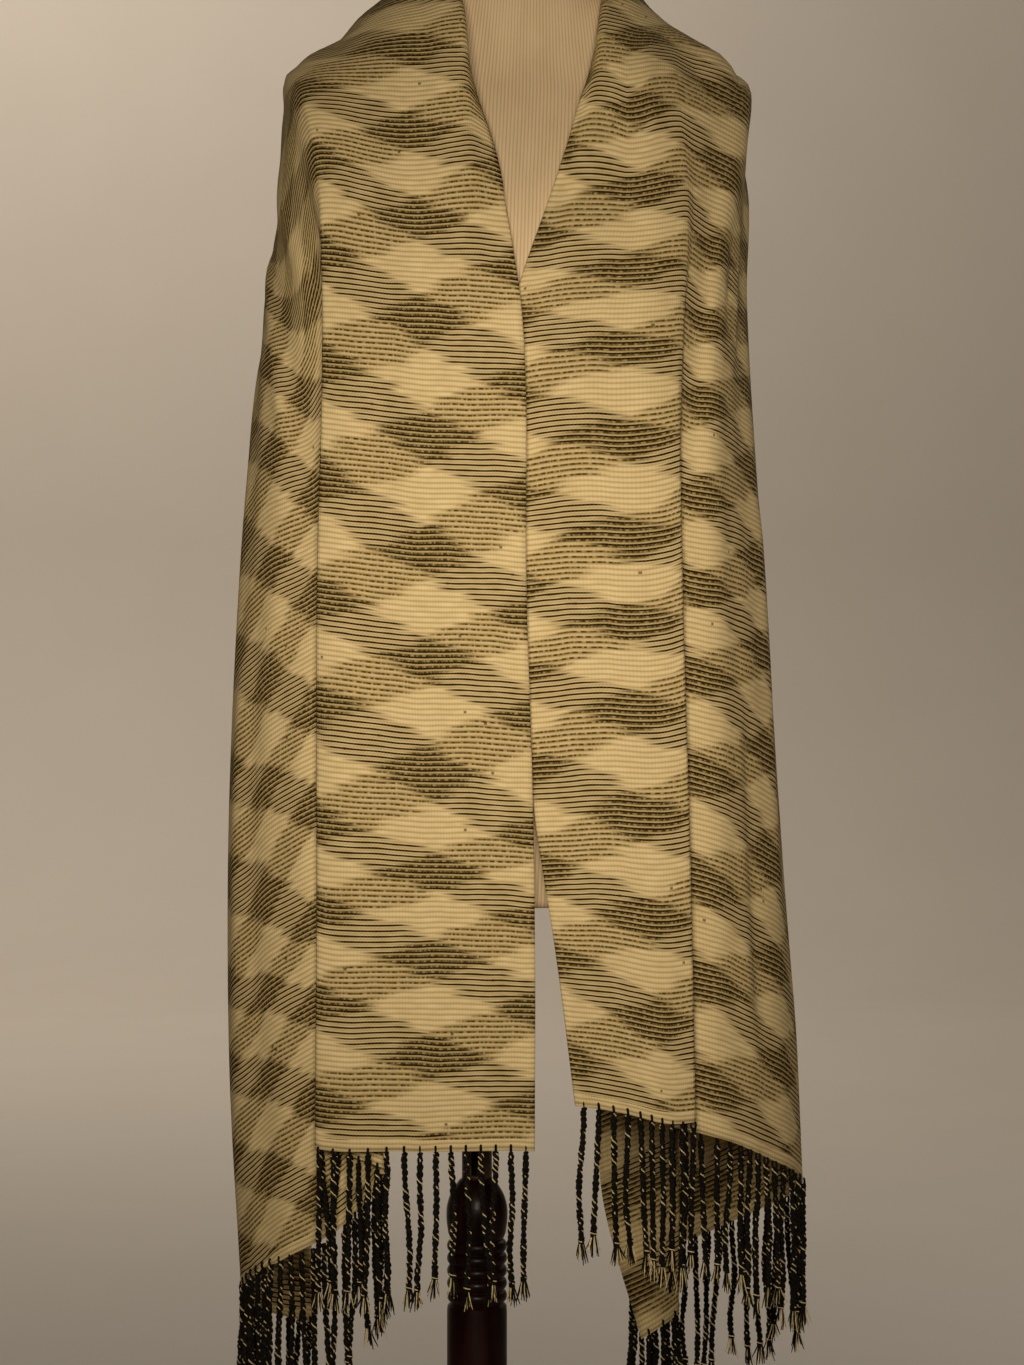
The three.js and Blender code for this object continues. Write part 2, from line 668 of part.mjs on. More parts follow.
function standBase() {
  const edge = 6;
  const outline = [
    [0, 0],
    [BASE_RADIUS - 2, 0],
    [BASE_RADIUS, 2],
    [BASE_RADIUS, BASE_HEIGHT - edge],
    [BASE_RADIUS - 2, BASE_HEIGHT - 2],
    [BASE_RADIUS - edge, BASE_HEIGHT],
    [0, BASE_HEIGHT],
  ];
  const turned = new THREE.LatheGeometry(outline.map(([r, z]) => new THREE.Vector2(r, z)), 40);
  turned.rotateX(Math.PI / 2);
  return toGeometry(toManifold(turned));
}

// ---------------------------------------------------------------- the part
const group = new THREE.Group();

function addNode(name, geometry, colour, roughness, metalness = 0) {
  const material = new THREE.MeshStandardMaterial({ color: colour, roughness, metalness });
  const mesh = new THREE.Mesh(geometry, material);
  mesh.name = name;
  group.add(mesh);
}

const CREAM = '#cdbd8c';
const MAHOGANY = '#2a0d07';
addNode('scarf_left_front', wallOn(frontPanel(LEFT, LEFT_COLUMNS)), CREAM, 0.85);
addNode('scarf_right_front', wallOn(frontPanel(RIGHT, RIGHT_COLUMNS)), '#c4b482', 0.85);
addNode('scarf_back', wallOn(backPanel()), '#b8a878', 0.85);
addNode('fringe_left', fringe(LEFT, LEFT_COLUMNS), '#26241a', 0.9);
addNode('fringe_right', fringe(RIGHT, RIGHT_COLUMNS), '#2c2a1e', 0.9);
addNode('dress_form', formWithSocket(), '#b59a6c', 0.9);
addNode('form_rod', formRod(), '#0b0a0a', 0.4, 0.8);
addNode('post_collar', postCollar(), '#4a2616', 0.5);
addNode('stand_post', standPost(), MAHOGANY, 0.35);
addNode('stand_base', standBase(), MAHOGANY, 0.35);

export default group;
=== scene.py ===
import math

import bmesh
import bpy
import numpy as np
from mathutils import Matrix, Vector


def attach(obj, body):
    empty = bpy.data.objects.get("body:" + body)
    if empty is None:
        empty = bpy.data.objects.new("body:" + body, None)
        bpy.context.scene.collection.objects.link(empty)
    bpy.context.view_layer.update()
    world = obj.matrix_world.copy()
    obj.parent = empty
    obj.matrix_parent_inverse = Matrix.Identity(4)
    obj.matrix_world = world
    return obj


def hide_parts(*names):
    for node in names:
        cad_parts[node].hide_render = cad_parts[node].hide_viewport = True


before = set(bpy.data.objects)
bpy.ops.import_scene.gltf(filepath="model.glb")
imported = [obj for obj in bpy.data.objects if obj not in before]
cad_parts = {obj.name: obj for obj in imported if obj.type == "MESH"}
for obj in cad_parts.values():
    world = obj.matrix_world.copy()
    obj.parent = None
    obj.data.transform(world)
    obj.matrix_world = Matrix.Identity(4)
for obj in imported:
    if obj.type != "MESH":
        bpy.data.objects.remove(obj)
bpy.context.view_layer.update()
MM = 0.001

# ------------------------------------------------------------------ sizes of the pieces
CLOTH_WIDTH = 560
LEFT_LENGTH = 1095
RIGHT_LENGTH = 1055
CLOTH_LENGTH = LEFT_LENGTH + RIGHT_LENGTH
CLOTH_THICKNESS = 1.7
CLOTH_ROWS = 344
COLUMN_STEP = 5.6
LEAST_COLUMN_STEP = 0.9
THREAD_STEPS = 500

CORD_PITCH = 11.4
TWIST_LENGTH = 98
TUFT_LENGTH = 17
TUFT_STRANDS = 15
CORD_STEPS = 58
PLY_RADIUS = 1.46
PLY_OFFSET = 1.2
FLECK_RADIUS = 0.5
LOOP_RADIUS = 1.0
KNOT_RADIUS = 1.3
KNOT_TURNS = 2.3
KNOT_STEPS = 20
BAND_STEPS = 9
STRAND_RADIUS = 0.6

LEAN = math.tan(math.radians(2))
LEAN_FROM = 500
FORM_BOTTOM = 740
FORM_TOP = 1540
FORM_MIDDLE_X = 34
RIB_WIDTH = 2.8
STITCH_HEIGHT = 1.6

ROD_RADIUS = 7
ROD_BOTTOM = 432
ROD_TOP = 860
POST_RADIUS = 24
POST_TOP = 517
COLLAR_RADIUS = 12
COLLAR_WALL = 2
COLLAR_HEIGHT = 52
COLLAR_SLOT = 9.5
BASE_RADIUS = 175
BASE_HEIGHT = 24

# height, half width, depth to the front and to the back, roundness of the corner
FORM_SECTIONS = [
    (740, 148, 98, 103, 2.2),
    (765, 158, 104, 109, 2.2),
    (850, 165, 108, 112, 2.2),
    (950, 148, 100, 98, 2.2),
    (1040, 120, 88, 78, 2.2),
    (1120, 128, 102, 84, 2.2),
    (1200, 142, 124, 97, 2.2),
    (1260, 147, 117, 103, 2.3),
    (1320, 156, 88, 101, 2.4),
    (1360, 168, 66, 88, 2.4),
    (1390, 174, 51, 70, 2.3),
    (1408, 165, 45, 60, 2.2),
    (1428, 133, 43, 54, 2.1),
    (1448, 94, 44, 53, 2.0),
    (1468, 66, 47, 52, 2.0),
    (1492, 57, 50, 51, 2.0),
    (1540, 54, 52, 51, 2.0),
]

# Each entry is a warp thread that leads a fold, followed from its hem up over the shoulder.
# u is its distance from the inner selvedge. turn is the radius where the cloth doubles
# back, under is 1 where the next layer goes beneath and -1 where it comes out on top, and
# lift is kept off the form by the layers beneath.
LEVELS = ("hem", "thigh", "hip", "waist", "bust", "chest", "shoulder", "top", "blade")
LEFT_FOLDS = [
    dict(
        u=0, turn=0, under=0, lift=11,
        hem=(45, -130, 559), hip=(45, -132, 760), waist=(39, -134, 980), bust=(33, -136, 1215),
        chest=(10, -92, 1333), shoulder=(-24, -50, 1438), top=(-30, 0, 1472),
        blade=(2, 57, 1478),
    ),
    dict(
        u=30, turn=4, under=-1, lift=6,
        hem=(15, -131, 559), hip=(15, -133, 760), waist=(9, -135, 980), bust=(3, -136, 1216),
        chest=(-9, -104, 1340), shoulder=(-14, -62, 1446), top=(-39, 4, 1492),
        blade=(-4, 64, 1504),
    ),
    dict(
        u=95, turn=0, under=0, lift=4,
        hem=(-51, -124, 557), hip=(-51, -125, 760), waist=(-54, -126, 980),
        bust=(-57, -124, 1215), chest=(-68, -97, 1322), shoulder=(-78, -52, 1418),
        top=(-93, 6, 1447), blade=(-50, 68, 1452),
    ),
    dict(
        u=160, turn=4, under=1, lift=15,
        hem=(-118, -110, 555), hip=(-117, -110, 760), waist=(-117, -110, 980),
        bust=(-115, -101, 1215), chest=(-122, -84, 1310), shoulder=(-140, -38, 1383),
        top=(-151, 8, 1400), blade=(-104, 68, 1392),
    ),
    dict(
        u=212, turn=4, under=1, lift=8,
        hem=(-70, -102, 537), hip=(-66, -102, 745), waist=(-74, -100, 962),
        bust=(-96, -84, 1178), chest=(-130, -66, 1268), shoulder=(-151, -26, 1340),
        top=(-155, 18, 1362), blade=(-112, 78, 1350),
    ),
    dict(
        u=286, turn=0, under=0, lift=4,
        hem=(-113, -94, 480), hip=(-117, -94, 690), waist=(-118, -92, 905),
        bust=(-123, -76, 1120), chest=(-146, -44, 1215), shoulder=(-160, 2, 1280),
        top=(-152, 44, 1299), blade=(-100, 94, 1266),
    ),
    dict(
        u=356, turn=0, under=0, lift=4,
        hem=(-164, -60, 458), hip=(-170, -58, 668), waist=(-169, -56, 882),
        bust=(-164, -46, 1096), chest=(-168, -12, 1190), shoulder=(-166, 34, 1246),
        top=(-148, 70, 1258), blade=(-94, 106, 1218),
    ),
    dict(
        u=430, turn=0, under=0, lift=4,
        hem=(-187, -8, 429), hip=(-198, -6, 640), waist=(-195, -4, 855), bust=(-183, 4, 1070),
        chest=(-174, 34, 1162), shoulder=(-163, 70, 1212), top=(-142, 94, 1228),
        blade=(-84, 114, 1180),
    ),
    dict(
        u=496, turn=0, under=0, lift=4,
        hem=(-176, 48, 403), hip=(-186, 52, 616), waist=(-184, 54, 831), bust=(-174, 60, 1046),
        chest=(-166, 74, 1124), shoulder=(-157, 90, 1172), top=(-136, 103, 1190),
        blade=(-80, 117, 1138),
    ),
    dict(
        u=560, turn=0, under=0, lift=4,
        hem=(-135, 80, 385), hip=(-143, 84, 600), waist=(-148, 86, 815), bust=(-147, 88, 1030),
        chest=(-148, 94, 1090), shoulder=(-146, 99, 1132), top=(-132, 106, 1156),
        blade=(-84, 118, 1098),
    ),
]

RIGHT_FOLDS = [
    dict(
        u=0, turn=0, under=0, lift=4,
        hem=(76, -128, 593), thigh=(61, -128, 710), hip=(47, -124, 800), waist=(33, -122, 980),
        bust=(28, -128, 1195), chest=(57, -108, 1285), shoulder=(97, -52, 1424),
        top=(96, 0, 1470), blade=(68, 55, 1478),
    ),
    dict(
        u=30, turn=4, under=-1, lift=4,
        hem=(106, -127, 588), thigh=(91, -127, 706), hip=(77, -126, 796), waist=(63, -125, 978),
        bust=(58, -128, 1198), chest=(84, -102, 1300), shoulder=(100, -60, 1436),
        top=(105, 3, 1492), blade=(75, 62, 1504),
    ),
    dict(
        u=112, turn=3.5, under=1, lift=8,
        hem=(165, -114, 574), thigh=(163, -114, 690), hip=(161, -114, 780),
        waist=(156, -112, 968), bust=(156, -100, 1185), chest=(160, -82, 1290),
        shoulder=(151, -50, 1402), top=(160, 4, 1434), blade=(140, 64, 1432),
    ),
    dict(
        u=130, turn=3.5, under=1, lift=5,
        hem=(153, -107, 568), thigh=(151, -107, 684), hip=(150, -107, 774),
        waist=(148, -105, 960), bust=(161, -92, 1172), chest=(172, -70, 1276),
        shoulder=(173, -42, 1386), top=(179, 4, 1418), blade=(158, 62, 1414),
    ),
    dict(
        u=168, turn=0, under=0, lift=4,
        hem=(188, -94, 558), thigh=(186, -94, 674), hip=(183, -94, 764), waist=(180, -92, 950),
        bust=(184, -76, 1160), chest=(193, -52, 1262), shoulder=(208, -22, 1350),
        top=(213, 6, 1396), blade=(186, 60, 1390),
    ),
    dict(
        u=226, turn=0, under=0, lift=4,
        hem=(228, -62, 538), thigh=(224, -62, 653), hip=(219, -60, 742), waist=(212, -57, 928),
        bust=(206, -42, 1137), chest=(208, -18, 1238), shoulder=(214, 12, 1332),
        top=(208, 44, 1370), blade=(168, 86, 1348),
    ),
    dict(
        u=284, turn=0, under=0, lift=4,
        hem=(260, -8, 513), thigh=(254, -8, 628), hip=(247, -8, 716), waist=(236, -4, 900),
        bust=(222, 4, 1108), chest=(216, 22, 1212), shoulder=(211, 46, 1308),
        top=(194, 74, 1334), blade=(140, 103, 1300),
    ),
    dict(
        u=385, turn=0, under=0, lift=8,
        hem=(207, 72, 466), thigh=(208, 76, 581), hip=(205, 80, 668), waist=(198, 86, 854),
        bust=(188, 94, 1061), chest=(180, 102, 1171), shoulder=(172, 104, 1236),
        top=(156, 112, 1264), blade=(104, 119, 1232),
    ),
    dict(
        u=430, turn=0, under=0, lift=12,
        hem=(168, 97, 446), thigh=(166, 101, 561), hip=(163, 104, 648), waist=(156, 110, 835),
        bust=(152, 114, 1042), chest=(158, 114, 1140), shoulder=(158, 111, 1204),
        top=(145, 115, 1236), blade=(100, 121, 1196),
    ),
    dict(
        u=472, turn=4, under=1, lift=14,
        hem=(130, 94, 430), thigh=(127, 99, 546), hip=(124, 106, 640), waist=(117, 116, 820),
        bust=(124, 118, 1020), chest=(140, 115, 1118), shoulder=(146, 113, 1176),
        top=(136, 116, 1208), blade=(98, 122, 1164),
    ),
    dict(
        u=523, turn=4, under=1, lift=8,
        hem=(163, 86, 394), thigh=(162, 88, 510), hip=(142, 80, 650), waist=(108, 97, 790),
        bust=(104, 116, 990), chest=(124, 112, 1086), shoulder=(136, 111, 1144),
        top=(126, 114, 1174), blade=(94, 121, 1124),
    ),
    dict(
        u=560, turn=0, under=0, lift=4,
        hem=(135, 78, 372), thigh=(103, 82, 488), hip=(96, 86, 620), waist=(66, 104, 760),
        bust=(82, 114, 960), chest=(106, 110, 1054), shoulder=(124, 108, 1112),
        top=(120, 112, 1144), blade=(92, 118, 1092),
    ),
]

# where each warp crosses the centre of the back: u, y, z
BACK_LINE = [
    (0, 63, 1474),
    (30, 71, 1506),
    (112, 84, 1432),
    (165, 94, 1381),
    (212, 104, 1332),
    (286, 111, 1254),
    (378, 117, 1164),
    (450, 120, 1100),
    (495, 120, 1064),
    (560, 118, 1012),
]
LEAST_LIFT = 3.4


# ------------------------------------------------------------------ drape of the shawl
def ease(t):
    t = np.clip(t, 0, 1)
    return t * t * (3 - 2 * t)


def smooth_curve(knots, points, at):
    """Smooth curve through points at uneven knots, read at each value of at."""
    knots = np.asarray(knots, float)
    points = np.asarray(points, float)
    spans = np.diff(knots).reshape((-1,) + (1,) * (points.ndim - 1))
    rises = np.diff(points, axis=0) / spans
    before, after = spans[:-1], spans[1:]
    inner = (rises[:-1] * after + rises[1:] * before) / (before + after)
    slopes = np.concatenate([rises[:1], inner, rises[-1:]])
    i = np.clip(np.searchsorted(knots, at, side="left") - 1, 0, len(knots) - 2)
    span = spans[i]
    t = (np.asarray(at, float) - knots[i]).reshape(span.shape) / span
    ends = points[i] * (2 * t**3 - 3 * t**2 + 1) + points[i + 1] * (3 * t**2 - 2 * t**3)
    turns = slopes[i] * (t**3 - 2 * t**2 + t) + slopes[i + 1] * (t**3 - t**2)
    return ends + turns * span


def lean_at(z):
    return (z - LEAN_FROM) * LEAN


def form_section(z):
    """Half width, front depth, back depth and corner power of the form at each height."""
    table = np.array(FORM_SECTIONS, float)
    found = smooth_curve(table[:, 0], table[:, 1:], np.clip(z, FORM_BOTTOM, FORM_TOP).ravel())
    return found.reshape(np.shape(z) + (4,))


def form_gap(p):
    """How far points are outside the form's skin, measured away from its axis."""
    x, y, z = np.moveaxis(p, -1, 0)
    half, front, back, power = np.moveaxis(form_section(z), -1, 0)
    across = np.abs(x - lean_at(z))
    depth = np.where(y < 0, front, back)
    ratio = ((across / half) ** power + (np.abs(y) / depth) ** power) ** (1 / power)
    below = np.maximum(FORM_BOTTOM - z, 0) * 0.3
    return (1 - 1 / np.maximum(ratio, 0.05)) * np.hypot(across, y) + below


def lifted_off_form(p, lift):
    """Points pushed out until they keep their lift off the form."""
    p = p.copy()
    step = 0.5
    for _ in range(5):
        gap = form_gap(p)
        slope = np.stack([(form_gap(p + step * axis) - gap) / step for axis in np.eye(3)], -1)
        steep = np.maximum(np.linalg.norm(slope, axis=-1), 0.2)
        short = np.maximum(lift - gap / steep, 0)
        p += slope / steep[..., None] * short[..., None]
    return p


def unit(v):
    return v / np.maximum(np.linalg.norm(v, axis=-1, keepdims=True), 1e-9)


class Half:
    """One half of the shawl, from its hem to the centre of the back."""

    def __init__(self, folds, length):
        self.folds = folds
        self.length = length
        self.paths = [self.thread_path(fold) for fold in folds]

    def thread_path(self, fold):
        points = [fold[level] for level in LEVELS if level in fold]
        line = np.array(BACK_LINE, float)
        y, z = smooth_curve(line[:, 0], line[:, 1:], [fold["u"]])[0]
        points.append((FORM_MIDDLE_X, y, z))
        points.append((2 * FORM_MIDDLE_X - points[-2][0], points[-2][1], points[-2][2]))
        points = np.array(points, float)
        knots = np.concatenate([[0], np.cumsum(np.linalg.norm(np.diff(points, axis=0), axis=1))])
        path = smooth_curve(knots, points, np.linspace(0, knots[-2], THREAD_STEPS))
        lengths = np.concatenate([[0], np.cumsum(np.linalg.norm(np.diff(path, axis=0), axis=1))])
        return path, lengths

    def places_along(self, v):
        """Where each leading thread is at the lengths v: fold, length, xyz."""
        found = []
        for path, lengths in self.paths:
            total = lengths[-1]
            s = v + (total - self.length) * ease((v / self.length - 0.55) / 0.45)
            found.append(np.stack([np.interp(s, lengths, path[:, axis]) for axis in range(3)], -1))
        return np.array(found)

    def wefts(self, v):
        """Knots across the cloth, and at each knot xyz and lift for every length in v."""
        places = self.places_along(v)
        stacked = 1 - ease((v - 640) / 160)
        knots, points = [], []
        for i, fold in enumerate(self.folds):
            lift = (LEAST_LIFT + (fold["lift"] - LEAST_LIFT) * stacked)[:, None]
            here = places[i]
            if not fold["turn"]:
                knots.append(fold["u"])
                points.append(np.hstack([here, lift]))
                continue
            before = unit(here - places[i - 1])
            after = unit(places[i + 1] - here)
            doubled = ((1 - (before * after).sum(-1)) / 2)[:, None]
            along = unit(before + after)
            out = unit(before - after)
            axis = np.stack([lean_at(here[:, 2]) - here[:, 0], -here[:, 1], 0 * v], -1)
            side = unit(axis - (axis * out).sum(-1)[:, None] * out) * fold["under"]
            for angle in np.radians([-90, -45, 0, 45, 90]):
                flat = here + along * fold["turn"] * angle
                round_ = here + (out * math.cos(angle) + side * math.sin(angle)) * fold["turn"]
                depth = fold["under"] * fold["turn"] * math.sin(angle) * doubled
                knots.append(fold["u"] + fold["turn"] * angle)
                points.append(np.hstack([flat + (round_ - flat) * doubled, lift - depth]))
        return np.array(knots), np.array(points)

    def surface(self, u, v):
        """Points of the middle of the cloth for columns u and lengths v: v, u, xyz."""
        knots, points = self.wefts(v)
        found = np.swapaxes(smooth_curve(knots, points, u), 0, 1)
        return lifted_off_form(found[..., :3], found[..., 3])


LEFT = Half(LEFT_FOLDS, LEFT_LENGTH)
RIGHT = Half(RIGHT_FOLDS, RIGHT_LENGTH)


def cloth_columns(folds):
    """Distances across the cloth, closer together where it doubles back on itself."""
    columns = set(np.arange(0, CLOTH_WIDTH + 1, COLUMN_STEP).round(2))
    for fold in folds:
        if fold["turn"]:
            reach = fold["turn"] * math.pi / 2
            columns |= set((fold["u"] + np.linspace(-reach - 1, reach + 1, 9)).round(2))
    columns = sorted(columns)
    kept = [columns[0]]
    for u in columns[1:]:
        if u - kept[-1] > LEAST_COLUMN_STEP:
            kept.append(u)
    kept[-1] = CLOTH_WIDTH
    return np.array(kept)


# soft creases: half, place across, width, height, from and to length
CREASES = [
    (LEFT, 330, 9, 2.6, 600, 740),
    (LEFT, 62, 9, -2.6, 800, 960),
    (LEFT, 250, 12, -2.0, 120, 420),
    (LEFT, 392, 16, 2.4, 60, 520),
    (RIGHT, 222, 11, -3.2, 70, 360),
    (RIGHT, 190, 6, -1.8, 600, 720),
    (RIGHT, 212, 7, 1.8, 590, 740),
    (RIGHT, 262, 13, 2.2, 180, 520),
    (RIGHT, 340, 18, -2.4, 90, 560),
]


def soft_relief(half, u, v):
    """Height of the cloth's soft waves and creases, in millimetres."""
    waves = 0.8 * np.sin(2 * np.pi * (u / 83 + 0.16 * np.sin(v / 140) + 0.3))
    waves += 0.45 * np.sin(2 * np.pi * (u / 41 + 0.2 * np.sin(v / 97 + 1)))
    waves += 0.35 * np.sin(v / 47 + 2.2 * np.sin(u / 70))
    pleats = np.ones_like(u)
    for fold in half.folds:
        if fold["turn"]:
            pleats *= 1 - np.exp(-(((u - fold["u"]) / 16) ** 2))
    height = waves * (0.25 + 0.75 * pleats)
    # selvedges that curl a little and waver
    for from_edge in (u, CLOTH_WIDTH - u):
        curl = 1.3 + 0.6 * np.sin(v / 37) + 0.5 * np.sin(v / 17 + 1)
        hollow = 0.8 * np.exp(-(((from_edge - 16) / 8) ** 2))
        height += curl * np.exp(-((from_edge / 7) ** 2)) - hollow
    for owner, place, width, rise, start, stop in CREASES:
        if owner is half:
            lengthways = ease((v - start) / 60) * ease((stop - v) / 60)
            height += rise * np.exp(-(((u - place) / width) ** 2)) * lengthways
    # loose folds that run down over the back, where the cloth has width to spare
    behind = ease((v - 800) / 160) * ease((u - 150) / 120) * (0.55 + 0.45 * ease((u - 300) / 200))
    drift = 16 * np.sin(v / 130) + 9 * np.sin(v / 61 + 1.3)
    folds = np.sin(2 * np.pi * (u + drift) / 86) + 0.45 * np.sin(2 * np.pi * (u - drift) / 47 + 1)
    return height + 3.6 * behind * folds


# How far picks stray from level, in millimetres. They climb towards the first crease, dip at
# the inner selvedge and are drawn up beside the neck.
LEVEL_COLUMN = {"left": 76, "right": 60}
CREASE_COLUMN = {"left": 151, "right": 122}
# the climb at the hem, the most it grows to, and the length that takes
CREASE_CLIMB = {"left": (3, 13, 560), "right": (5, 14, 600)}
SELVEDGE_DIP = {"left": 5, "right": 16}
NECK_PULL = 14
NECK_LENGTH = 775
SIDE_TILT = 9  # the left side's outer picks hang lower at the hem and higher at the chest
SIDE_CLIMB = 28  # the right side's outer picks climb most at the waist
WAIST_LENGTH = 480


def weft_sag(half, u, v):
    """How far each pick hangs below its level, for columns u and lengths v: v, u."""
    side = "left" if half is LEFT else "right"
    u, v = u[None, :], v[:, None]
    level_column, crease = LEVEL_COLUMN[side], CREASE_COLUMN[side]
    least, most, grown = CREASE_CLIMB[side]
    inner = np.clip((level_column - u) / level_column, 0, 1)
    dip = SELVEDGE_DIP[side] * ease(v / 310) * (1 - ease((v - 650) / 90))
    pull = NECK_PULL * np.exp(-(((v - NECK_LENGTH) / 60) ** 2))
    towards_crease = ease((u - level_column) / (crease - level_column))
    climb = (least + (most - least) * ease(v / grown)) * towards_crease
    if half is LEFT:
        climb = climb * (1 - ease((u - crease) / 150))
        tilt = SIDE_TILT * (1 - 2 * ease((v - 350) / 450)) * (2 * ease((u - 290) / 100) - 1)
        beyond = tilt * ease((u - 240) / 60) * (1 - ease((u - 420) / 140))
        neckward = ease((60 - u) / 60)
    else:
        at_waist = np.exp(-(((v - WAIST_LENGTH) / 200) ** 2))
        rise = SIDE_CLIMB * at_waist * np.clip((u - 150) / 130, 0, 1)
        climb = (climb + rise) * (1 - ease((u - 290) / 270))
        beyond = 0
        neckward = inner
    return (dip * inner - pull * neckward - climb + beyond) * (1 - ease((v - 850) / 120))


# Where the light pools of the dyed weft lie along the cloth from the left hem, counted up
# the left fall, over the back and down the right fall. Between them the count runs evenly.
POOL_COUNTS = [
    (0, -0.45), (34, 0), (109, 1), (180, 2), (244, 3), (334, 4), (412, 5), (501, 6), (587, 7),
    (673, 8), (746, 9), (815, 10), (890, 11), (1095, 13.5),
    (CLOTH_LENGTH - 803, 17), (CLOTH_LENGTH - 741, 18), (CLOTH_LENGTH - 679, 19),
    (CLOTH_LENGTH - 617, 20), (CLOTH_LENGTH - 555, 21), (CLOTH_LENGTH - 482, 22),
    (CLOTH_LENGTH - 412, 23), (CLOTH_LENGTH - 347, 24), (CLOTH_LENGTH - 275, 25),
    (CLOTH_LENGTH - 192, 26), (CLOTH_LENGTH - 117, 27), (CLOTH_LENGTH - 37, 28),
    (CLOTH_LENGTH, 28.5),
]
# The share of a pool's cycle that each place across the cloth has drifted.
POOL_SHARES = [(-9, -0.5), (76, 0), (161, 0.5), (250, 1.0), (345, 2.0), (450, 2.75), (560, 3.5)]


def pool_places(u, v):
    """Each place's share across and count along the pools of the dyed weft."""
    counts, shares = np.array(POOL_COUNTS, float), np.array(POOL_SHARES, float)
    climb = smooth_curve(counts[:, 0], counts[:, 1:], v)[:, 0]
    slide = smooth_curve(shares[:, 0], shares[:, 1:], u)[:, 0]
    return np.stack(np.meshgrid(slide, climb), -1)


def half_points(half, u, v):
    """The draped cloth over columns u and lengths v, before its soft relief."""
    reach = np.concatenate([v, [half.length]])
    reach = np.unique(np.clip(reach, 0, half.length))
    sheet = half.surface(u, reach)
    points = np.empty((len(v), len(u), 3))
    level = v[:, None] - weft_sag(half, u, v)
    for j in range(len(u)):
        at = level[:, j]
        for axis in range(3):
            points[:, j, axis] = np.interp(at, reach, sheet[:, j, axis])
    return points


def outward(points):
    """Unit direction out of the cloth's face at every point of a grid."""
    return unit(np.cross(np.gradient(points, axis=0), np.gradient(points, axis=1)))


def shawl_grid(u, v):
    """The whole cloth from the left hem over the back to the right hem: v, u, xyz."""
    left, right = v[v <= LEFT_LENGTH], CLOTH_LENGTH - v[v > LEFT_LENGTH]
    halves = [half_points(LEFT, u, left), half_points(RIGHT, u, right[::-1])[::-1]]
    points = np.concatenate(halves)
    near = np.exp(-(((v - LEFT_LENGTH) / 55) ** 2))[1:-1, None, None]
    for _ in range(40):
        points[1:-1] += 0.5 * near * ((points[2:] + points[:-2]) / 2 - points[1:-1])
    across, along = np.meshgrid(u, v)
    seam = ease((along - LEFT_LENGTH + 40) / 80)
    height = soft_relief(LEFT, across, np.minimum(along, LEFT_LENGTH)) * (1 - seam)
    height += soft_relief(RIGHT, across, np.minimum(CLOTH_LENGTH - along, RIGHT_LENGTH)) * seam
    points += outward(points) * height[..., None]
    return lifted_off_form(points, np.full(across.shape, LEAST_LIFT - 0.8))


# ------------------------------------------------------------------ helpers for the pieces
def link(name, mesh, *materials):
    piece = bpy.data.objects.new(name, mesh)
    bpy.context.scene.collection.objects.link(piece)
    for material in materials:
        mesh.materials.append(material)
    return piece


def finished(name, bm, *materials, smooth_angle=35):
    """Turns a bmesh into a piece with its faces outward and its hard edges kept."""
    bmesh.ops.remove_doubles(bm, verts=bm.verts, dist=1e-6)
    bmesh.ops.recalc_face_normals(bm, faces=bm.faces)
    mesh = bpy.data.meshes.new(name)
    bm.to_mesh(mesh)
    bm.free()
    mesh.shade_smooth()
    mesh.set_sharp_from_angle(angle=math.radians(smooth_angle))
    return link(name, mesh, *materials)


def turned(name, outline, material, steps=96):
    """A piece turned on the lathe from an outline of radius and height in millimetres."""
    bm = bmesh.new()
    verts = [bm.verts.new((r * MM, 0, z * MM)) for r, z in outline]
    edges = [bm.edges.new(pair) for pair in zip(verts, verts[1:])]
    bmesh.ops.spin(
        bm, geom=verts + edges, cent=(0, 0, 0), axis=(0, 0, 1),
        angle=math.tau, steps=steps, use_merge=True, use_duplicate=False,
    )
    bmesh.ops.remove_doubles(bm, verts=bm.verts, dist=1e-5)
    return finished(name, bm, material)


def rounded(outline, radius, steps=4):
    """An outline with each of its inner corners rounded off."""
    found = [outline[0]]
    for before, corner, after in zip(outline, outline[1:], outline[2:]):
        corner, ends = np.array(corner, float), []
        for other in (before, after):
            way = np.array(other, float) - corner
            reach = min(radius, 0.45 * np.linalg.norm(way))
            ends.append(corner + way / np.linalg.norm(way) * reach)
        for t in np.linspace(0, 1, steps + 1):
            point = (1 - t) ** 2 * ends[0] + 2 * t * (1 - t) * corner + t * t * ends[1]
            found.append(tuple(point))
    return found + [outline[-1]]


def yarn_mesh(paths, radius, bevel_steps, tapers):
    """Round strands along paths of points, all in metres, as one mesh."""
    curve = bpy.data.curves.new("yarn", "CURVE")
    curve.dimensions = "3D"
    curve.bevel_depth = radius
    curve.bevel_resolution = bevel_steps
    curve.use_fill_caps = True
    for i, path in enumerate(paths):
        spline = curve.splines.new("POLY")
        spline.points.add(len(path) - 1)
        spline.points.foreach_set("co", np.hstack([path, np.ones((len(path), 1))]).ravel())
        spline.points.foreach_set("radius", tapers[i])
    holder = bpy.data.objects.new("yarn", curve)
    bpy.context.scene.collection.objects.link(holder)
    seen = holder.evaluated_get(bpy.context.evaluated_depsgraph_get())
    mesh = bpy.data.meshes.new_from_object(seen)
    bpy.data.objects.remove(holder)
    bpy.data.curves.remove(curve)
    return mesh


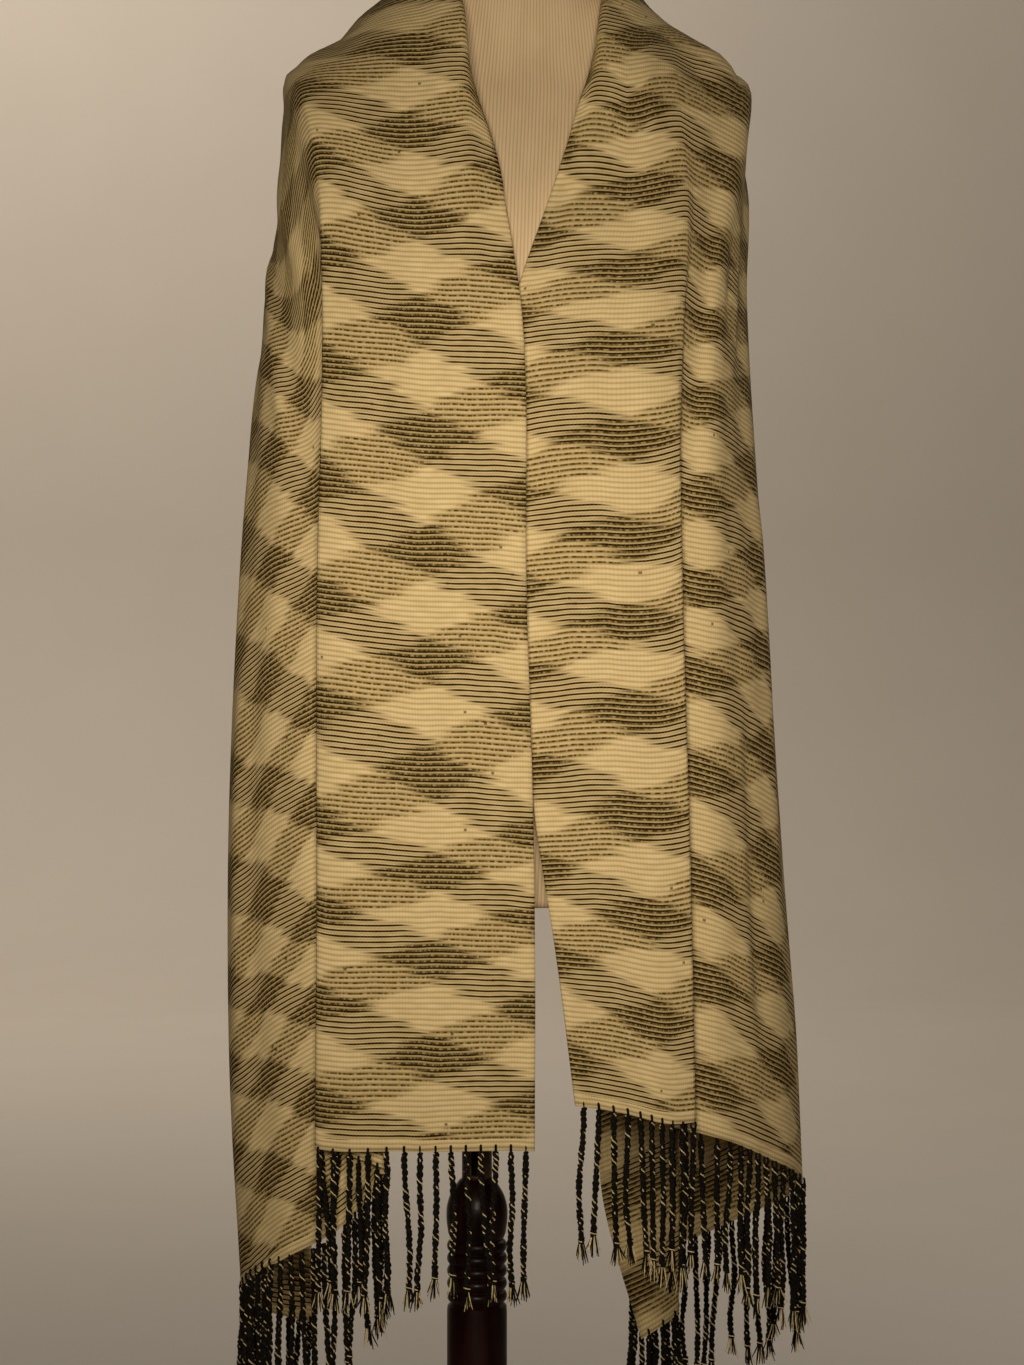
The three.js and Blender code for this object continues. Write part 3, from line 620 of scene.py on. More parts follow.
# ------------------------------------------------------------------ the pieces
def gridded(name, points, **layers):
    """A grid of quads laid on points (rows, columns, xyz), each layer its own UV map."""
    rows, columns = points.shape[:2]
    bm = bmesh.new()
    bmesh.ops.create_grid(bm, x_segments=columns - 1, y_segments=rows - 1, size=1)
    mesh = bpy.data.meshes.new(name)
    bm.to_mesh(mesh)
    bm.free()
    corners = np.empty(len(mesh.vertices) * 3)
    mesh.vertices.foreach_get("co", corners)
    place = (corners.reshape(-1, 3) + 1) / 2
    column = np.rint(place[:, 0] * (columns - 1)).astype(int)
    row = np.rint(place[:, 1] * (rows - 1)).astype(int)
    mesh.vertices.foreach_set("co", (points[row, column] * MM).ravel())
    vertex = np.empty(len(mesh.loops), int)
    mesh.loops.foreach_get("vertex_index", vertex)
    for layer_name, places in layers.items():
        layer = mesh.uv_layers.new(name=layer_name)
        layer.data.foreach_set("uv", places[row, column][vertex].ravel())
    mesh.shade_smooth()
    return mesh


def make_shawl(material):
    columns = np.unique(np.concatenate([cloth_columns(LEFT_FOLDS), cloth_columns(RIGHT_FOLDS)]))
    u = columns[np.concatenate([[True], np.diff(columns) > LEAST_COLUMN_STEP])]
    u[-1] = CLOTH_WIDTH
    v = np.linspace(0, CLOTH_LENGTH, CLOTH_ROWS)
    cut = np.stack(np.meshgrid(u, v), -1) * MM
    mesh = gridded("shawl", shawl_grid(u, v), weave=cut, dye=pool_places(u, v))
    shawl = link("shawl", mesh, material)
    wall = shawl.modifiers.new("cloth wall", "SOLIDIFY")
    wall.thickness = CLOTH_THICKNESS * MM
    wall.offset = 0
    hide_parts("scarf_left_front", "scarf_right_front", "scarf_back")
    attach(shawl, "root")
    return shawl


def cord_middle(root, drop, lean, wave):
    """Points down the middle of a hanging cord that leans and wavers a little."""
    share = (drop / TWIST_LENGTH)[:, None]
    waver = np.sin(share * wave[0] + wave[1]) - math.sin(wave[1])
    sideways = np.array([wave[2], wave[3], 0.0])
    points = root + share**1.2 * np.array([lean[0], lean[1], 0.0]) + waver * sideways * share**0.5
    points[:, 2] -= drop
    return points


def wound(middle, radius, angle):
    """Points wound round a middle line that runs downwards."""
    turn = np.stack([np.cos(angle), np.sin(angle), 0 * angle], -1)
    return middle + turn * np.reshape(radius, (-1, 1))


def fringe_yarns(half):
    """Paths of all the yarns of one fringe, in millimetres, with their thickness along them."""
    rng = np.random.default_rng(31 if half is LEFT else 57)
    count = int(CLOTH_WIDTH // CORD_PITCH)
    u = (CLOTH_WIDTH - (count - 1) * CORD_PITCH) / 2 + np.arange(count) * CORD_PITCH
    points = half.surface(u, np.array([0.0, 2.0, 4.2]))
    out = unit(np.cross(points[2] - points[0], np.gradient(points[0], axis=0)))
    out *= 1 if half is LEFT else -1
    tangent = unit(np.gradient(points[0], axis=0))
    gather = np.cumsum(rng.normal(0, 1.5, count))
    gather -= np.convolve(gather, np.ones(7) / 7, "same")
    plies, flecks_and_highlights, loops, knots, glints, black_ends, pale_ends = ([] for _ in range(7))
    for i in range(count):
        hem, mid, high = points[:, i]
        length = TWIST_LENGTH + rng.uniform(-9, 7)
        lean = np.clip(2.1 * gather[i], -9, 9) * tangent[i][:2] + rng.uniform(-2.8, 2.8, 2)
        wave = (rng.uniform(3, 8), rng.uniform(0, 6), rng.uniform(-2.3, 2.3), rng.uniform(-1, 1))
        root = hem - np.array([0, 0, 1.0])
        for side in (1, -1):
            loops.append([high + out[i] * side * 0.9, high + out[i] * side * 1.7,
                          mid + out[i] * side * 1.9, hem + out[i] * side * 1.5, root])
        drop = np.linspace(0, length, CORD_STEPS)
        middle = cord_middle(root, drop, lean, wave)
        start = rng.uniform(0, math.tau)
        pitch = rng.uniform(8.2, 10.8)
        angle = start + math.tau * drop / pitch + 0.7 * np.sin(drop / 17 + start)
        for turn in (0, math.pi):
            uneven = 1 + 0.14 * np.sin(drop / rng.uniform(3, 6) + rng.uniform(0, 6))
            plies.append((wound(middle, PLY_OFFSET * uneven, angle + turn), uneven))
        # cream fibres surface as small flecks on the black cords; they also stand for the cords'
        # highlights, so they are partly painted highlight
        shown = rng.uniform(-1, 1, CORD_STEPS) + np.sin(drop / rng.uniform(5, 9) + start)
        flecks_and_highlights.append(wound(middle, np.where(shown > 0.5, 2.15, 0.5), angle + math.pi / 2))
        shown = rng.uniform(-1, 1, CORD_STEPS) + np.sin(drop / rng.uniform(5, 9) - start)
        flecks_and_highlights.append(wound(middle, np.where(shown > 0.8, 2.2, 0.4), angle - math.pi / 2))
        knot = middle[-1]
        ring = np.linspace(0, KNOT_TURNS * math.tau, KNOT_STEPS)
        coil = wound(np.repeat(knot[None], KNOT_STEPS, 0), 1.45, ring + start)
        coil[:, 2] += np.linspace(0.8, -3.2, KNOT_STEPS)
        knots.append(coil)
        # a cream band of yarn round each knot, which also paints the knot's glint
        round_knot = np.linspace(0, 4.4, BAND_STEPS) + rng.uniform(0, 6)
        band = wound(np.repeat(knot[None], BAND_STEPS, 0), 2.6, round_knot)
        band[:, 2] += np.linspace(-0.1, -2.3, BAND_STEPS)
        glints.append(band)
        for strand in range(TUFT_STRANDS):
            way = rng.uniform(0, math.tau)
            spread = rng.uniform(0.3, 4.6)
            fall = TUFT_LENGTH * rng.uniform(0.65, 1.1)
            t = np.array([0.0, 0.35, 0.7, 1.0])
            fan = (t**0.8 * spread + 0.9)[:, None] * np.array([math.cos(way), math.sin(way), 0])
            fan[:, :2] += t[:, None] ** 2 * rng.normal(0, 1.2, 2)
            ends = pale_ends if strand % 3 == 0 else black_ends
            ends.append((knot + fan + np.outer(-1.2 - t * fall, [0, 0, 1]), [1, 1, 0.9, 0.5]))
    return plies, flecks_and_highlights, loops, knots, glints, black_ends, pale_ends


def untapered(paths):
    return [(path, np.ones(len(path))) for path in paths]


def make_fringe(name, half, node, black, pale):
    """Twisted cords through the header, each with its knot and its tuft."""
    plies, flecks_and_highlights, loops, knots, glints, black_ends, pale_ends = fringe_yarns(half)
    bm = bmesh.new()
    for strands, radius, bevel_steps, finish in (
        (plies, PLY_RADIUS, 1, 0),
        (untapered(loops), LOOP_RADIUS, 1, 0),
        (untapered(knots), KNOT_RADIUS, 1, 0),
        (black_ends, STRAND_RADIUS, 0, 0),
        (untapered(flecks_and_highlights), FLECK_RADIUS, 0, 1),
        (untapered(glints), FLECK_RADIUS, 0, 1),
        (pale_ends, FLECK_RADIUS, 0, 1),
    ):
        paths = [np.array(path) * MM for path, _ in strands]
        yarn = yarn_mesh(paths, radius * MM, bevel_steps, [taper for _, taper in strands])
        yarn.polygons.foreach_set("material_index", np.full(len(yarn.polygons), finish))
        bm.from_mesh(yarn)
        bpy.data.meshes.remove(yarn)
    mesh = bpy.data.meshes.new(name)
    bm.to_mesh(mesh)
    bm.free()
    mesh.shade_smooth()
    fringe = link(name, mesh, black, pale)
    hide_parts(node)
    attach(fringe, "root")
    return fringe


def make_form(material):
    """The dress form, its jersey cover turned in under the lower edge and flat at the neck."""
    around, edge, tuck = 160, 7, 0.055
    bend = np.sin(np.radians([0, 25, 50, 75, 90]))
    rise = 1 - np.cos(np.radians([0, 25, 50, 75, 90]))
    heights = np.concatenate([
        [FORM_BOTTOM] * 3, FORM_BOTTOM + edge * rise,
        np.linspace(FORM_BOTTOM + 14, FORM_TOP - 6, 120),
        [FORM_TOP - 2.5, FORM_TOP - 0.7], [FORM_TOP] * 4,
    ])
    inset = np.concatenate([
        [0.0, 0.4, 0.8], 1 - tuck * (1 - bend), np.ones(120), [0.99, 0.965, 0.93, 0.6, 0.3, 0.0],
    ])
    half, front, back, power = form_section(heights).T[:, :, None]
    step = np.arange(around + 1) - around // 2
    angle = math.tau * step / around - math.pi / 2
    c, s = np.cos(angle), np.sin(angle)
    depth = np.where(s < 0, front, back)
    x = inset[:, None] * half * np.sign(c) * np.abs(c) ** (2 / power)
    y = inset[:, None] * depth * np.sign(s) * np.abs(s) ** (2 / power)
    z = heights[:, None] + 0 * x
    points = np.stack([lean_at(z) + x, y, z], -1)
    run = np.linalg.norm(np.diff(points, axis=1), axis=-1)
    girth = np.concatenate([0 * z[:, :1], np.cumsum(run, axis=1)], axis=1)
    girth -= girth[:, around // 2][:, None]
    ribs = girth * np.interp(z, [1380, 1480], [1.0, 1.25])
    mesh = gridded("form_cover", points, ribs=np.stack([ribs, z], -1) * MM)
    bm = bmesh.new()
    bm.from_mesh(mesh)
    bpy.data.meshes.remove(mesh)
    piece = finished("form_cover", bm, material, smooth_angle=60)
    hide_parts("dress_form")
    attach(piece, "root")
    return piece


def make_stand(wood, rod_finish, collar_finish):
    """Round base, turned post, slotted collar and the rod that the form slides on."""
    foot = [
        (0, 0), (BASE_RADIUS - 3, 0), (BASE_RADIUS, 3), (BASE_RADIUS, 13), (BASE_RADIUS - 3, 17),
        (BASE_RADIUS - 9, 18.5), (BASE_RADIUS - 13, 22), (BASE_RADIUS - 22, BASE_HEIGHT),
        (POST_RADIUS + 8, BASE_HEIGHT), (0, BASE_HEIGHT),
    ]
    base = turned("stand_foot", rounded(foot, 2.2), wood, steps=128)
    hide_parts("stand_base")

    beads = []
    for bead in range(5):
        z = 419 + 10 * bead
        arc = np.radians(np.linspace(-75, 75, 9))
        beads += [(POST_RADIUS - 3.2 + 3.2 * math.cos(a), z + 5 + 4.6 * math.sin(a)) for a in arc]
    outline = [
        (0, BASE_HEIGHT + 0.3), (POST_RADIUS, BASE_HEIGHT + 0.3), (POST_RADIUS, 412),
        (POST_RADIUS - 0.4, 416), (POST_RADIUS - 2.6, 418.5), *beads, (POST_RADIUS - 3, 469.5),
    ]
    bulb = [(POST_RADIUS - 1, 474), (POST_RADIUS + 0.6, 485), (POST_RADIUS + 0.4, 495),
            (POST_RADIUS - 2, 504), (POST_RADIUS - 6, 511), (COLLAR_RADIUS + 1.5, POST_TOP)]
    mouth = [(10.5, POST_TOP), (10.5, 430), (0, 430)]
    post = turned("stand_column", outline + rounded(bulb, 6, 5) + mouth, wood)
    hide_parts("stand_post")

    lean = Matrix.Identity(4)
    lean[0][2] = LEAN
    lean[0][3] = -LEAN_FROM * LEAN * MM
    tip = 1.5
    bar = [(0, ROD_BOTTOM), (ROD_RADIUS - tip, ROD_BOTTOM), (ROD_RADIUS, ROD_BOTTOM + tip),
           (ROD_RADIUS, ROD_TOP - tip), (ROD_RADIUS - tip, ROD_TOP), (0, ROD_TOP)]
    rod = turned("sliding_rod", bar, rod_finish, steps=48)
    rod.data.transform(lean)
    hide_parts("form_rod")

    foot_z = POST_TOP + 0.3
    bm = bmesh.new()
    low = bm.verts.new((COLLAR_RADIUS * MM, 0, foot_z * MM))
    levels = [foot_z + 4, foot_z + 15, foot_z + 30, foot_z + COLLAR_HEIGHT - 1.5]
    verts = [low] + [bm.verts.new((COLLAR_RADIUS * MM, 0, z * MM)) for z in levels]
    verts.append(bm.verts.new(((COLLAR_RADIUS - 0.5) * MM, 0, (foot_z + COLLAR_HEIGHT) * MM)))
    edges = [bm.edges.new(pair) for pair in zip(verts, verts[1:])]
    bmesh.ops.spin(
        bm, geom=verts + edges, cent=(0, 0, 0), axis=(0, 0, 1),
        angle=math.tau, steps=72, use_merge=True, use_duplicate=False,
    )
    bmesh.ops.remove_doubles(bm, verts=bm.verts, dist=1e-6)
    for x in (-COLLAR_SLOT / 2, COLLAR_SLOT / 2):
        everything = bm.verts[:] + bm.edges[:] + bm.faces[:]
        bmesh.ops.bisect_plane(
            bm, geom=everything, plane_co=(x * MM, 0, 0), plane_no=(1, 0, 0), dist=1e-6,
        )
    in_slot = [
        face for face in bm.faces
        if abs(face.calc_center_median().x) < COLLAR_SLOT / 2 * MM
        and face.calc_center_median().y < 0
        and face.calc_center_median().z > (foot_z + 4) * MM
    ]
    bmesh.ops.delete(bm, geom=in_slot, context="FACES")
    collar = finished("rod_collar", bm, collar_finish, smooth_angle=50)
    wall = collar.modifiers.new("tube wall", "SOLIDIFY")
    wall.thickness = COLLAR_WALL * MM
    wall.offset = -1
    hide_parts("post_collar")
    for piece, finish in ((base, "turned_wood"), (post, "turned_wood"), (rod, "rod_steel"),
                          (collar, "collar_metal")):
        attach(piece, "root")


# ------------------------------------------------------------------ shader helpers
class Nodes:
    """Short names for adding and joining nodes in one tree."""

    def __init__(self, tree):
        self.tree = tree

    def add(self, kind, **settings):
        node = self.tree.nodes.new(kind)
        for key, value in settings.items():
            setattr(node, key, value)
        return node

    def feed(self, socket, value):
        if isinstance(value, bpy.types.NodeSocket):
            self.tree.links.new(value, socket)
        elif value is not None:
            socket.default_value = value

    def math(self, operation, a, b=None, c=None):
        node = self.add("ShaderNodeMath", operation=operation)
        for socket, value in zip(node.inputs, (a, b, c)):
            self.feed(socket, value)
        return node.outputs[0]

    def spread(self, value, low, high, to_low=0.0, to_high=1.0, smooth=True):
        kind = "SMOOTHSTEP" if smooth else "LINEAR"
        node = self.add("ShaderNodeMapRange", interpolation_type=kind)
        for socket, entry in zip(node.inputs, (value, low, high, to_low, to_high)):
            self.feed(socket, entry)
        return node.outputs[0]

    def mix(self, share, a, b):
        node = self.add("ShaderNodeMix", data_type="RGBA")
        for socket, value in zip((node.inputs[0], node.inputs[6], node.inputs[7]), (share, a, b)):
            self.feed(socket, value)
        return node.outputs[2]

    def noise(self, vector, scale, detail=2.0, roughness=0.5):
        node = self.add("ShaderNodeTexNoise")
        self.feed(node.inputs["Vector"], vector)
        node.inputs["Scale"].default_value = scale
        node.inputs["Detail"].default_value = detail
        node.inputs["Roughness"].default_value = roughness
        return node.outputs["Fac"]

    def place(self, x, y, z=0.0):
        node = self.add("ShaderNodeCombineXYZ")
        for socket, value in zip(node.inputs, (x, y, z)):
            self.feed(socket, value)
        return node.outputs[0]


def group_tree(name, inputs, outputs):
    """A node group with sockets (name, kind, value) and its input and output nodes."""
    tree = bpy.data.node_groups.new(name, "ShaderNodeTree")
    for label, kind, value in inputs:
        socket = tree.interface.new_socket(label, in_out="INPUT", socket_type="NodeSocket" + kind)
        if value is not None:
            socket.default_value = value
    for label, kind in outputs:
        tree.interface.new_socket(label, in_out="OUTPUT", socket_type="NodeSocket" + kind)
    return tree, tree.nodes.new("NodeGroupInput").outputs, tree.nodes.new("NodeGroupOutput").inputs


def pooled_weave():
    """Weft rib of two space-dyed shuttles whose dark stretches pool into diamonds.

    The strong shuttle lays a raised black line in each rib and the fine one a stippled line
    close beside it. They drift opposite ways, so the cloth is dark where both are dark, lined
    or stippled where one is, and plain where neither is.
    """
    tree, given, put = group_tree(
        "Pooled weave",
        [
            ("Cut", "Vector", None), ("Dye", "Vector", None), ("Rib", "Float", 0.00408),
            ("Warp", "Float", 0.0022), ("Length", "Float", 2.15), ("Header", "Float", 0.009),
            ("Light yarn", "Color", (0.6, 0.5, 0.3, 1)), ("Groove shade", "Color", (0.3, 0.2, 0.1, 1)),
            ("Dark yarn", "Color", (0.02, 0.02, 0.01, 1)),
            ("Fine yarn", "Color", (0.1, 0.08, 0.04, 1)),
        ],
        [("Color", "Color"), ("Height", "Float"), ("Dark", "Float")],
    )
    n = Nodes(tree)
    split = n.add("ShaderNodeSeparateXYZ")
    n.feed(split.inputs[0], given["Cut"])
    across, along = split.outputs[0], split.outputs[1]
    pool = n.add("ShaderNodeSeparateXYZ")
    n.feed(pool.inputs[0], given["Dye"])
    slide, climb = pool.outputs[0], pool.outputs[1]

    # ribs that wander a little as they cross the cloth
    stretched = n.place(n.math("MULTIPLY", across, 16.0), n.math("MULTIPLY", along, 10.0))
    wander = n.math("SUBTRACT", n.noise(stretched, 1.0), 0.5)
    rib_place = n.math("DIVIDE", n.math("MULTIPLY_ADD", wander, 0.006, along), given["Rib"])
    strong_number = n.math("FLOOR", n.math("ADD", rib_place, 0.5))
    fine_place = n.math("SUBTRACT", rib_place, 0.31)
    fine_number = n.math("FLOOR", n.math("ADD", fine_place, 0.5))
    from_rib = n.math("PINGPONG", rib_place, 0.5)
    crest = n.math("SUBTRACT", 0.5, from_rib)

    # where the dark stretches of both shuttles fall
    place = n.place(n.math("MULTIPLY", across, 9.0), n.math("MULTIPLY", along, 11.0))
    loose = n.math("MULTIPLY", n.math("SUBTRACT", n.noise(place, 1.0, 3.0), 0.5), 0.16)

    throw_stray, dye_edge = 0.085, 0.045

    def shuttle(direction, number, seed, dark_from):
        throw = n.add("ShaderNodeTexWhiteNoise", noise_dimensions="1D")
        n.feed(throw.inputs["W"], n.math("ADD", number, seed))
        offset = n.math("MULTIPLY", n.math("SUBTRACT", throw.outputs["Value"], 0.5), throw_stray)
        phase = n.math("MULTIPLY_ADD", slide, direction, n.math("ADD", climb, loose))
        from_light = n.math("PINGPONG", n.math("ADD", phase, offset), 0.5)
        return n.spread(from_light, dark_from - dye_edge, dark_from + dye_edge)

    strong = shuttle(-1.0, strong_number, 0.37, 0.268)
    fine = shuttle(1.0, fine_number, 71.7, 0.262)
    to_end = n.math("MINIMUM", along, n.math("SUBTRACT", given["Length"], along))
    woven = n.math("GREATER_THAN", to_end, given["Header"])
    strong = n.math("MULTIPLY", strong, woven)
    fine = n.math("MULTIPLY", fine, woven)

    # the strong line, nicked by each warp, and the fine one patchy along its pick
    from_warp = n.math("PINGPONG", n.math("DIVIDE", across, given["Warp"]), 0.5)
    between = n.spread(from_warp, 0.12, 0.3)
    nicked = n.spread(from_warp, 0.0, 0.16, 0.86, 1.0)
    streak = n.noise(n.place(n.math("MULTIPLY", across, 55.0), strong_number), 1.0, 2.0)
    swell = n.math("MULTIPLY_ADD", n.math("SUBTRACT", streak, 0.5), 0.14, 0.318)
    strong_line = n.spread(crest, n.math("SUBTRACT", swell, 0.06), n.math("ADD", swell, 0.06))
    strong_line = n.math("MULTIPLY", n.math("MULTIPLY", strong_line, nicked), strong)
    fleck = n.noise(n.place(n.math("MULTIPLY", across, 330.0), fine_number), 1.0, 1.0)
    fine_line = n.spread(n.math("PINGPONG", fine_place, 0.5), 0.1, 0.27, 1.0, 0.0)
    patchy = n.spread(fleck, 0.34, 0.58, 0.3, 1.0)
    fine_line = n.math("MULTIPLY", n.math("MULTIPLY", fine_line, patchy), fine)
    slub_cell = n.add("ShaderNodeTexWhiteNoise", noise_dimensions="2D")
    n.feed(slub_cell.inputs["Vector"], n.place(
        n.math("FLOOR", n.math("DIVIDE", across, given["Warp"])), strong_number))
    slub = n.math("MULTIPLY", n.math("GREATER_THAN", slub_cell.outputs["Value"], 0.9982), woven)
    slub = n.math("MULTIPLY", slub, n.spread(crest, 0.2, 0.3))
    strong_line = n.math("MAXIMUM", strong_line, n.math("MULTIPLY", slub, 0.7))

    # undyed yarn, with painted shade in the grooves between the ribs and beside each warp, and
    # mottled along each pick
    tone = n.spread(streak, 0.3, 0.7, 0.84, 1.0, smooth=False)
    groove_and_shade = n.spread(crest, 0.0, 0.34, 0.66, 1.0)
    groove_and_shade = n.math("MULTIPLY", groove_and_shade, n.math("MULTIPLY_ADD", fine, -0.18, 1.0))
    groove_and_shade = n.math("MULTIPLY", groove_and_shade, n.math("MULTIPLY_ADD", strong, -0.06, 1.0))
    # painted shade beside each warp thread
    warp_shade = n.spread(from_warp, 0.0, 0.3, 0.93, 1.0)
    lit = n.math("MULTIPLY", n.math("MULTIPLY", tone, groove_and_shade), warp_shade)
    shaded = n.spread(lit, 0.45, 1.0, 1.0, 0.0, smooth=False)
    ground = n.mix(shaded, given["Light yarn"], given["Groove shade"])
    colour = n.mix(fine_line, ground, given["Fine yarn"])
    colour = n.mix(strong_line, colour, given["Dark yarn"])
    dimples = n.math("MULTIPLY", between, 0.2)
    relief = n.math("MULTIPLY_ADD", n.spread(crest, 0.02, 0.42), 0.8, dimples)
    n.feed(put["Color"], colour)
    n.feed(put["Height"], relief)
    n.feed(put["Dark"], n.math("MAXIMUM", strong_line, fine_line))
    return tree


def new_finish(name, roughness, **settings):
    """A material and the parts of its tree that every finish starts from."""
    material = bpy.data.materials.new(name)
    material.use_nodes = True
    shader = material.node_tree.nodes["Principled BSDF"]
    shader.inputs["Roughness"].default_value = roughness
    for key, value in settings.items():
        shader.inputs[key.replace("_", " ")].default_value = value
    return material, Nodes(material.node_tree), shader


def add_bump(n, shader, height, depth, strength):
    bump = n.add("ShaderNodeBump")
    bump.inputs["Strength"].default_value = strength
    bump.inputs["Distance"].default_value = depth
    n.feed(bump.inputs["Height"], height)
    n.feed(shader.inputs["Normal"], bump.outputs[0])


def shawl_finish():
    material, n, shader = new_finish("Pooled handwoven cloth", 0.9)
    shader.inputs["Specular IOR Level"].default_value = 0.08
    weave = n.add("ShaderNodeGroup", node_tree=pooled_weave())
    n.feed(weave.inputs["Cut"], n.add("ShaderNodeUVMap", uv_map="weave").outputs[0])
    n.feed(weave.inputs["Dye"], n.add("ShaderNodeUVMap", uv_map="dye").outputs[0])
    weave.inputs["Light yarn"].default_value = (0.90, 0.715, 0.40, 1)
    # the groove colour is painted shade, laid into the rib grooves
    weave.inputs["Groove shade"].default_value = (0.42, 0.29, 0.10, 1)
    weave.inputs["Dark yarn"].default_value = (0.012, 0.007, 0.0006, 1)
    weave.inputs["Fine yarn"].default_value = (0.075, 0.05, 0.011, 1)
    n.feed(shader.inputs["Base Color"], weave.outputs["Color"])
    n.feed(shader.inputs["Roughness"], n.spread(weave.outputs["Dark"], 0.0, 1.0, 0.92, 0.85))
    add_bump(n, shader, weave.outputs["Height"], 0.0006, 0.6)
    return material


def yarn_finish(name, low, high, roughness):
    """Loose woollen yarn with fibres that vary in tone."""
    material, n, shader = new_finish(name, roughness)
    shader.inputs["Specular IOR Level"].default_value = 0.2
    place = n.add("ShaderNodeTexCoord").outputs["Object"]
    tone = n.noise(place, 420.0, 3.0, 0.6)
    n.feed(shader.inputs["Base Color"], n.mix(n.spread(tone, 0.35, 0.68), low, high))
    n.feed(shader.inputs["Roughness"], n.spread(tone, 0.2, 0.8, roughness + 0.06, roughness - 0.06))
    add_bump(n, shader, n.noise(place, 1500.0, 2.0), 0.0003, 0.6)
    return material


def jersey_finish():
    """Fine ribbed jersey stretched over the form, with painted shade in the grooves of its ribs."""
    material, n, shader = new_finish("Ribbed jersey", 0.9)
    shader.inputs["Specular IOR Level"].default_value = 0.2
    split = n.add("ShaderNodeSeparateXYZ")
    n.feed(split.inputs[0], n.add("ShaderNodeUVMap", uv_map="ribs").outputs[0])
    across, up = split.outputs[0], split.outputs[1]
    waver = n.noise(n.place(n.math("MULTIPLY", across, 30.0), n.math("MULTIPLY", up, 12.0)), 1.0)
    across = n.math("MULTIPLY_ADD", n.math("SUBTRACT", waver, 0.5), 0.0016, across)
    rib = n.math("PINGPONG", n.math("DIVIDE", across, RIB_WIDTH * MM), 0.5)
    stitch = n.math("PINGPONG", n.math("DIVIDE", up, STITCH_HEIGHT * MM), 0.5)
    groove_and_shade = n.spread(rib, 0.0, 0.34)
    patch = n.place(n.math("MULTIPLY", across, 60.0), n.math("MULTIPLY", up, 22.0))
    blotch = n.noise(patch, 1.0, 4.0)
    # the tone mixes painted shade in the rib grooves with random blotches
    tone = n.math("MULTIPLY_ADD", groove_and_shade, 0.5, n.math("MULTIPLY", blotch, 0.6))
    n.feed(shader.inputs["Base Color"], n.mix(
        n.spread(tone, 0.15, 0.9), (0.58, 0.42, 0.245, 1), (0.82, 0.625, 0.39, 1)))
    n.feed(shader.inputs["Roughness"], n.spread(blotch, 0.2, 0.8, 0.86, 0.95))
    height = n.math("MULTIPLY_ADD", stitch, 0.5, groove_and_shade)
    add_bump(n, shader, height, 0.0003, 0.45)
    return material


def wood_finish():
    """Turned mahogany, stained dark and polished, rubbed paler in cloudy streaks along the grain.
    """
    material, n, shader = new_finish("Polished mahogany", 0.3, Coat_Roughness=0.15)
    shader.inputs["Specular IOR Level"].default_value = 0.16
    place = n.add("ShaderNodeTexCoord").outputs["Object"]
    grain_place = n.add("ShaderNodeMapping")
    grain_place.inputs["Scale"].default_value = (1.0, 1.0, 0.06)
    n.feed(grain_place.inputs["Vector"], place)
    grain = n.noise(grain_place.outputs[0], 150.0, 5.0, 0.6)
    pores = n.noise(grain_place.outputs[0], 900.0, 2.0, 0.5)
    cloudy = n.noise(place, 14.0, 3.0)
    streak = n.math("MULTIPLY_ADD", cloudy, 0.35, n.math("MULTIPLY", grain, 0.75))
    stain, rubbed = (0.004, 0.0008, 0.0006, 1), (0.022, 0.003, 0.0012, 1)
    colour = n.mix(n.spread(streak, 0.38, 0.72), stain, rubbed)
    colour = n.mix(n.spread(pores, 0.58, 0.72, 0.0, 0.6), colour, (0.006, 0.002, 0.001, 1))
    n.feed(shader.inputs["Base Color"], colour)
    n.feed(shader.inputs["Roughness"], n.spread(grain, 0.3, 0.7, 0.34, 0.5))
    n.feed(shader.inputs["Coat Weight"], n.spread(cloudy, 0.3, 0.7, 0.04, 0.12))
    add_bump(n, shader, n.math("ADD", grain, n.math("MULTIPLY", pores, 0.4)), 0.0004, 0.18)
    return material


def painted_finish(name, low, high, roughness, metallic=0.0):
    """Paint over metal with a slight orange peel and some scuffs."""
    material, n, shader = new_finish(name, roughness, Metallic=metallic)
    place = n.add("ShaderNodeTexCoord").outputs["Object"]
    scuff = n.noise(place, 180.0, 5.0, 0.65)
    n.feed(shader.inputs["Base Color"], n.mix(n.spread(scuff, 0.42, 0.75), low, high))
    n.feed(shader.inputs["Roughness"], n.spread(scuff, 0.3, 0.7, roughness + 0.1, roughness - 0.05))
    add_bump(n, shader, n.noise(place, 700.0, 2.0), 0.0003, 0.2)
    return material


# ------------------------------------------------------------------ stage, light and camera
def make_stage():
    """A pale floor that sweeps up into a plain backdrop."""
    reach, back, bend, top, floor_z = 9.0, 6.6, 1.4, 7.0, -0.0005
    bm = bmesh.new()
    sweep = [(-reach, floor_z), (back, floor_z)]
    sweep += [(back + bend * math.sin(a), floor_z + bend - bend * math.cos(a))
              for a in np.radians(np.linspace(7.5, 90, 12))]
    sweep.append((back + bend, top))
    verts = [bm.verts.new((-reach, y, z)) for y, z in sweep]
    edges = [bm.edges.new(pair) for pair in zip(verts, verts[1:])]
    made = bmesh.ops.extrude_edge_only(bm, edges=edges)
    moved = [item for item in made["geom"] if isinstance(item, bmesh.types.BMVert)]
    bmesh.ops.translate(bm, verts=moved, vec=(2 * reach, 0, 0))
    material, n, shader = new_finish("Pale studio floor", 0.9)
    place = n.add("ShaderNodeTexCoord").outputs["Object"]
    tone = n.noise(place, 3.0, 3.0)
    n.feed(shader.inputs["Base Color"], n.mix(tone, (0.60, 0.57, 0.53, 1), (0.64, 0.61, 0.57, 1)))
    floor = finished("studio_floor", bm, material, smooth_angle=80)


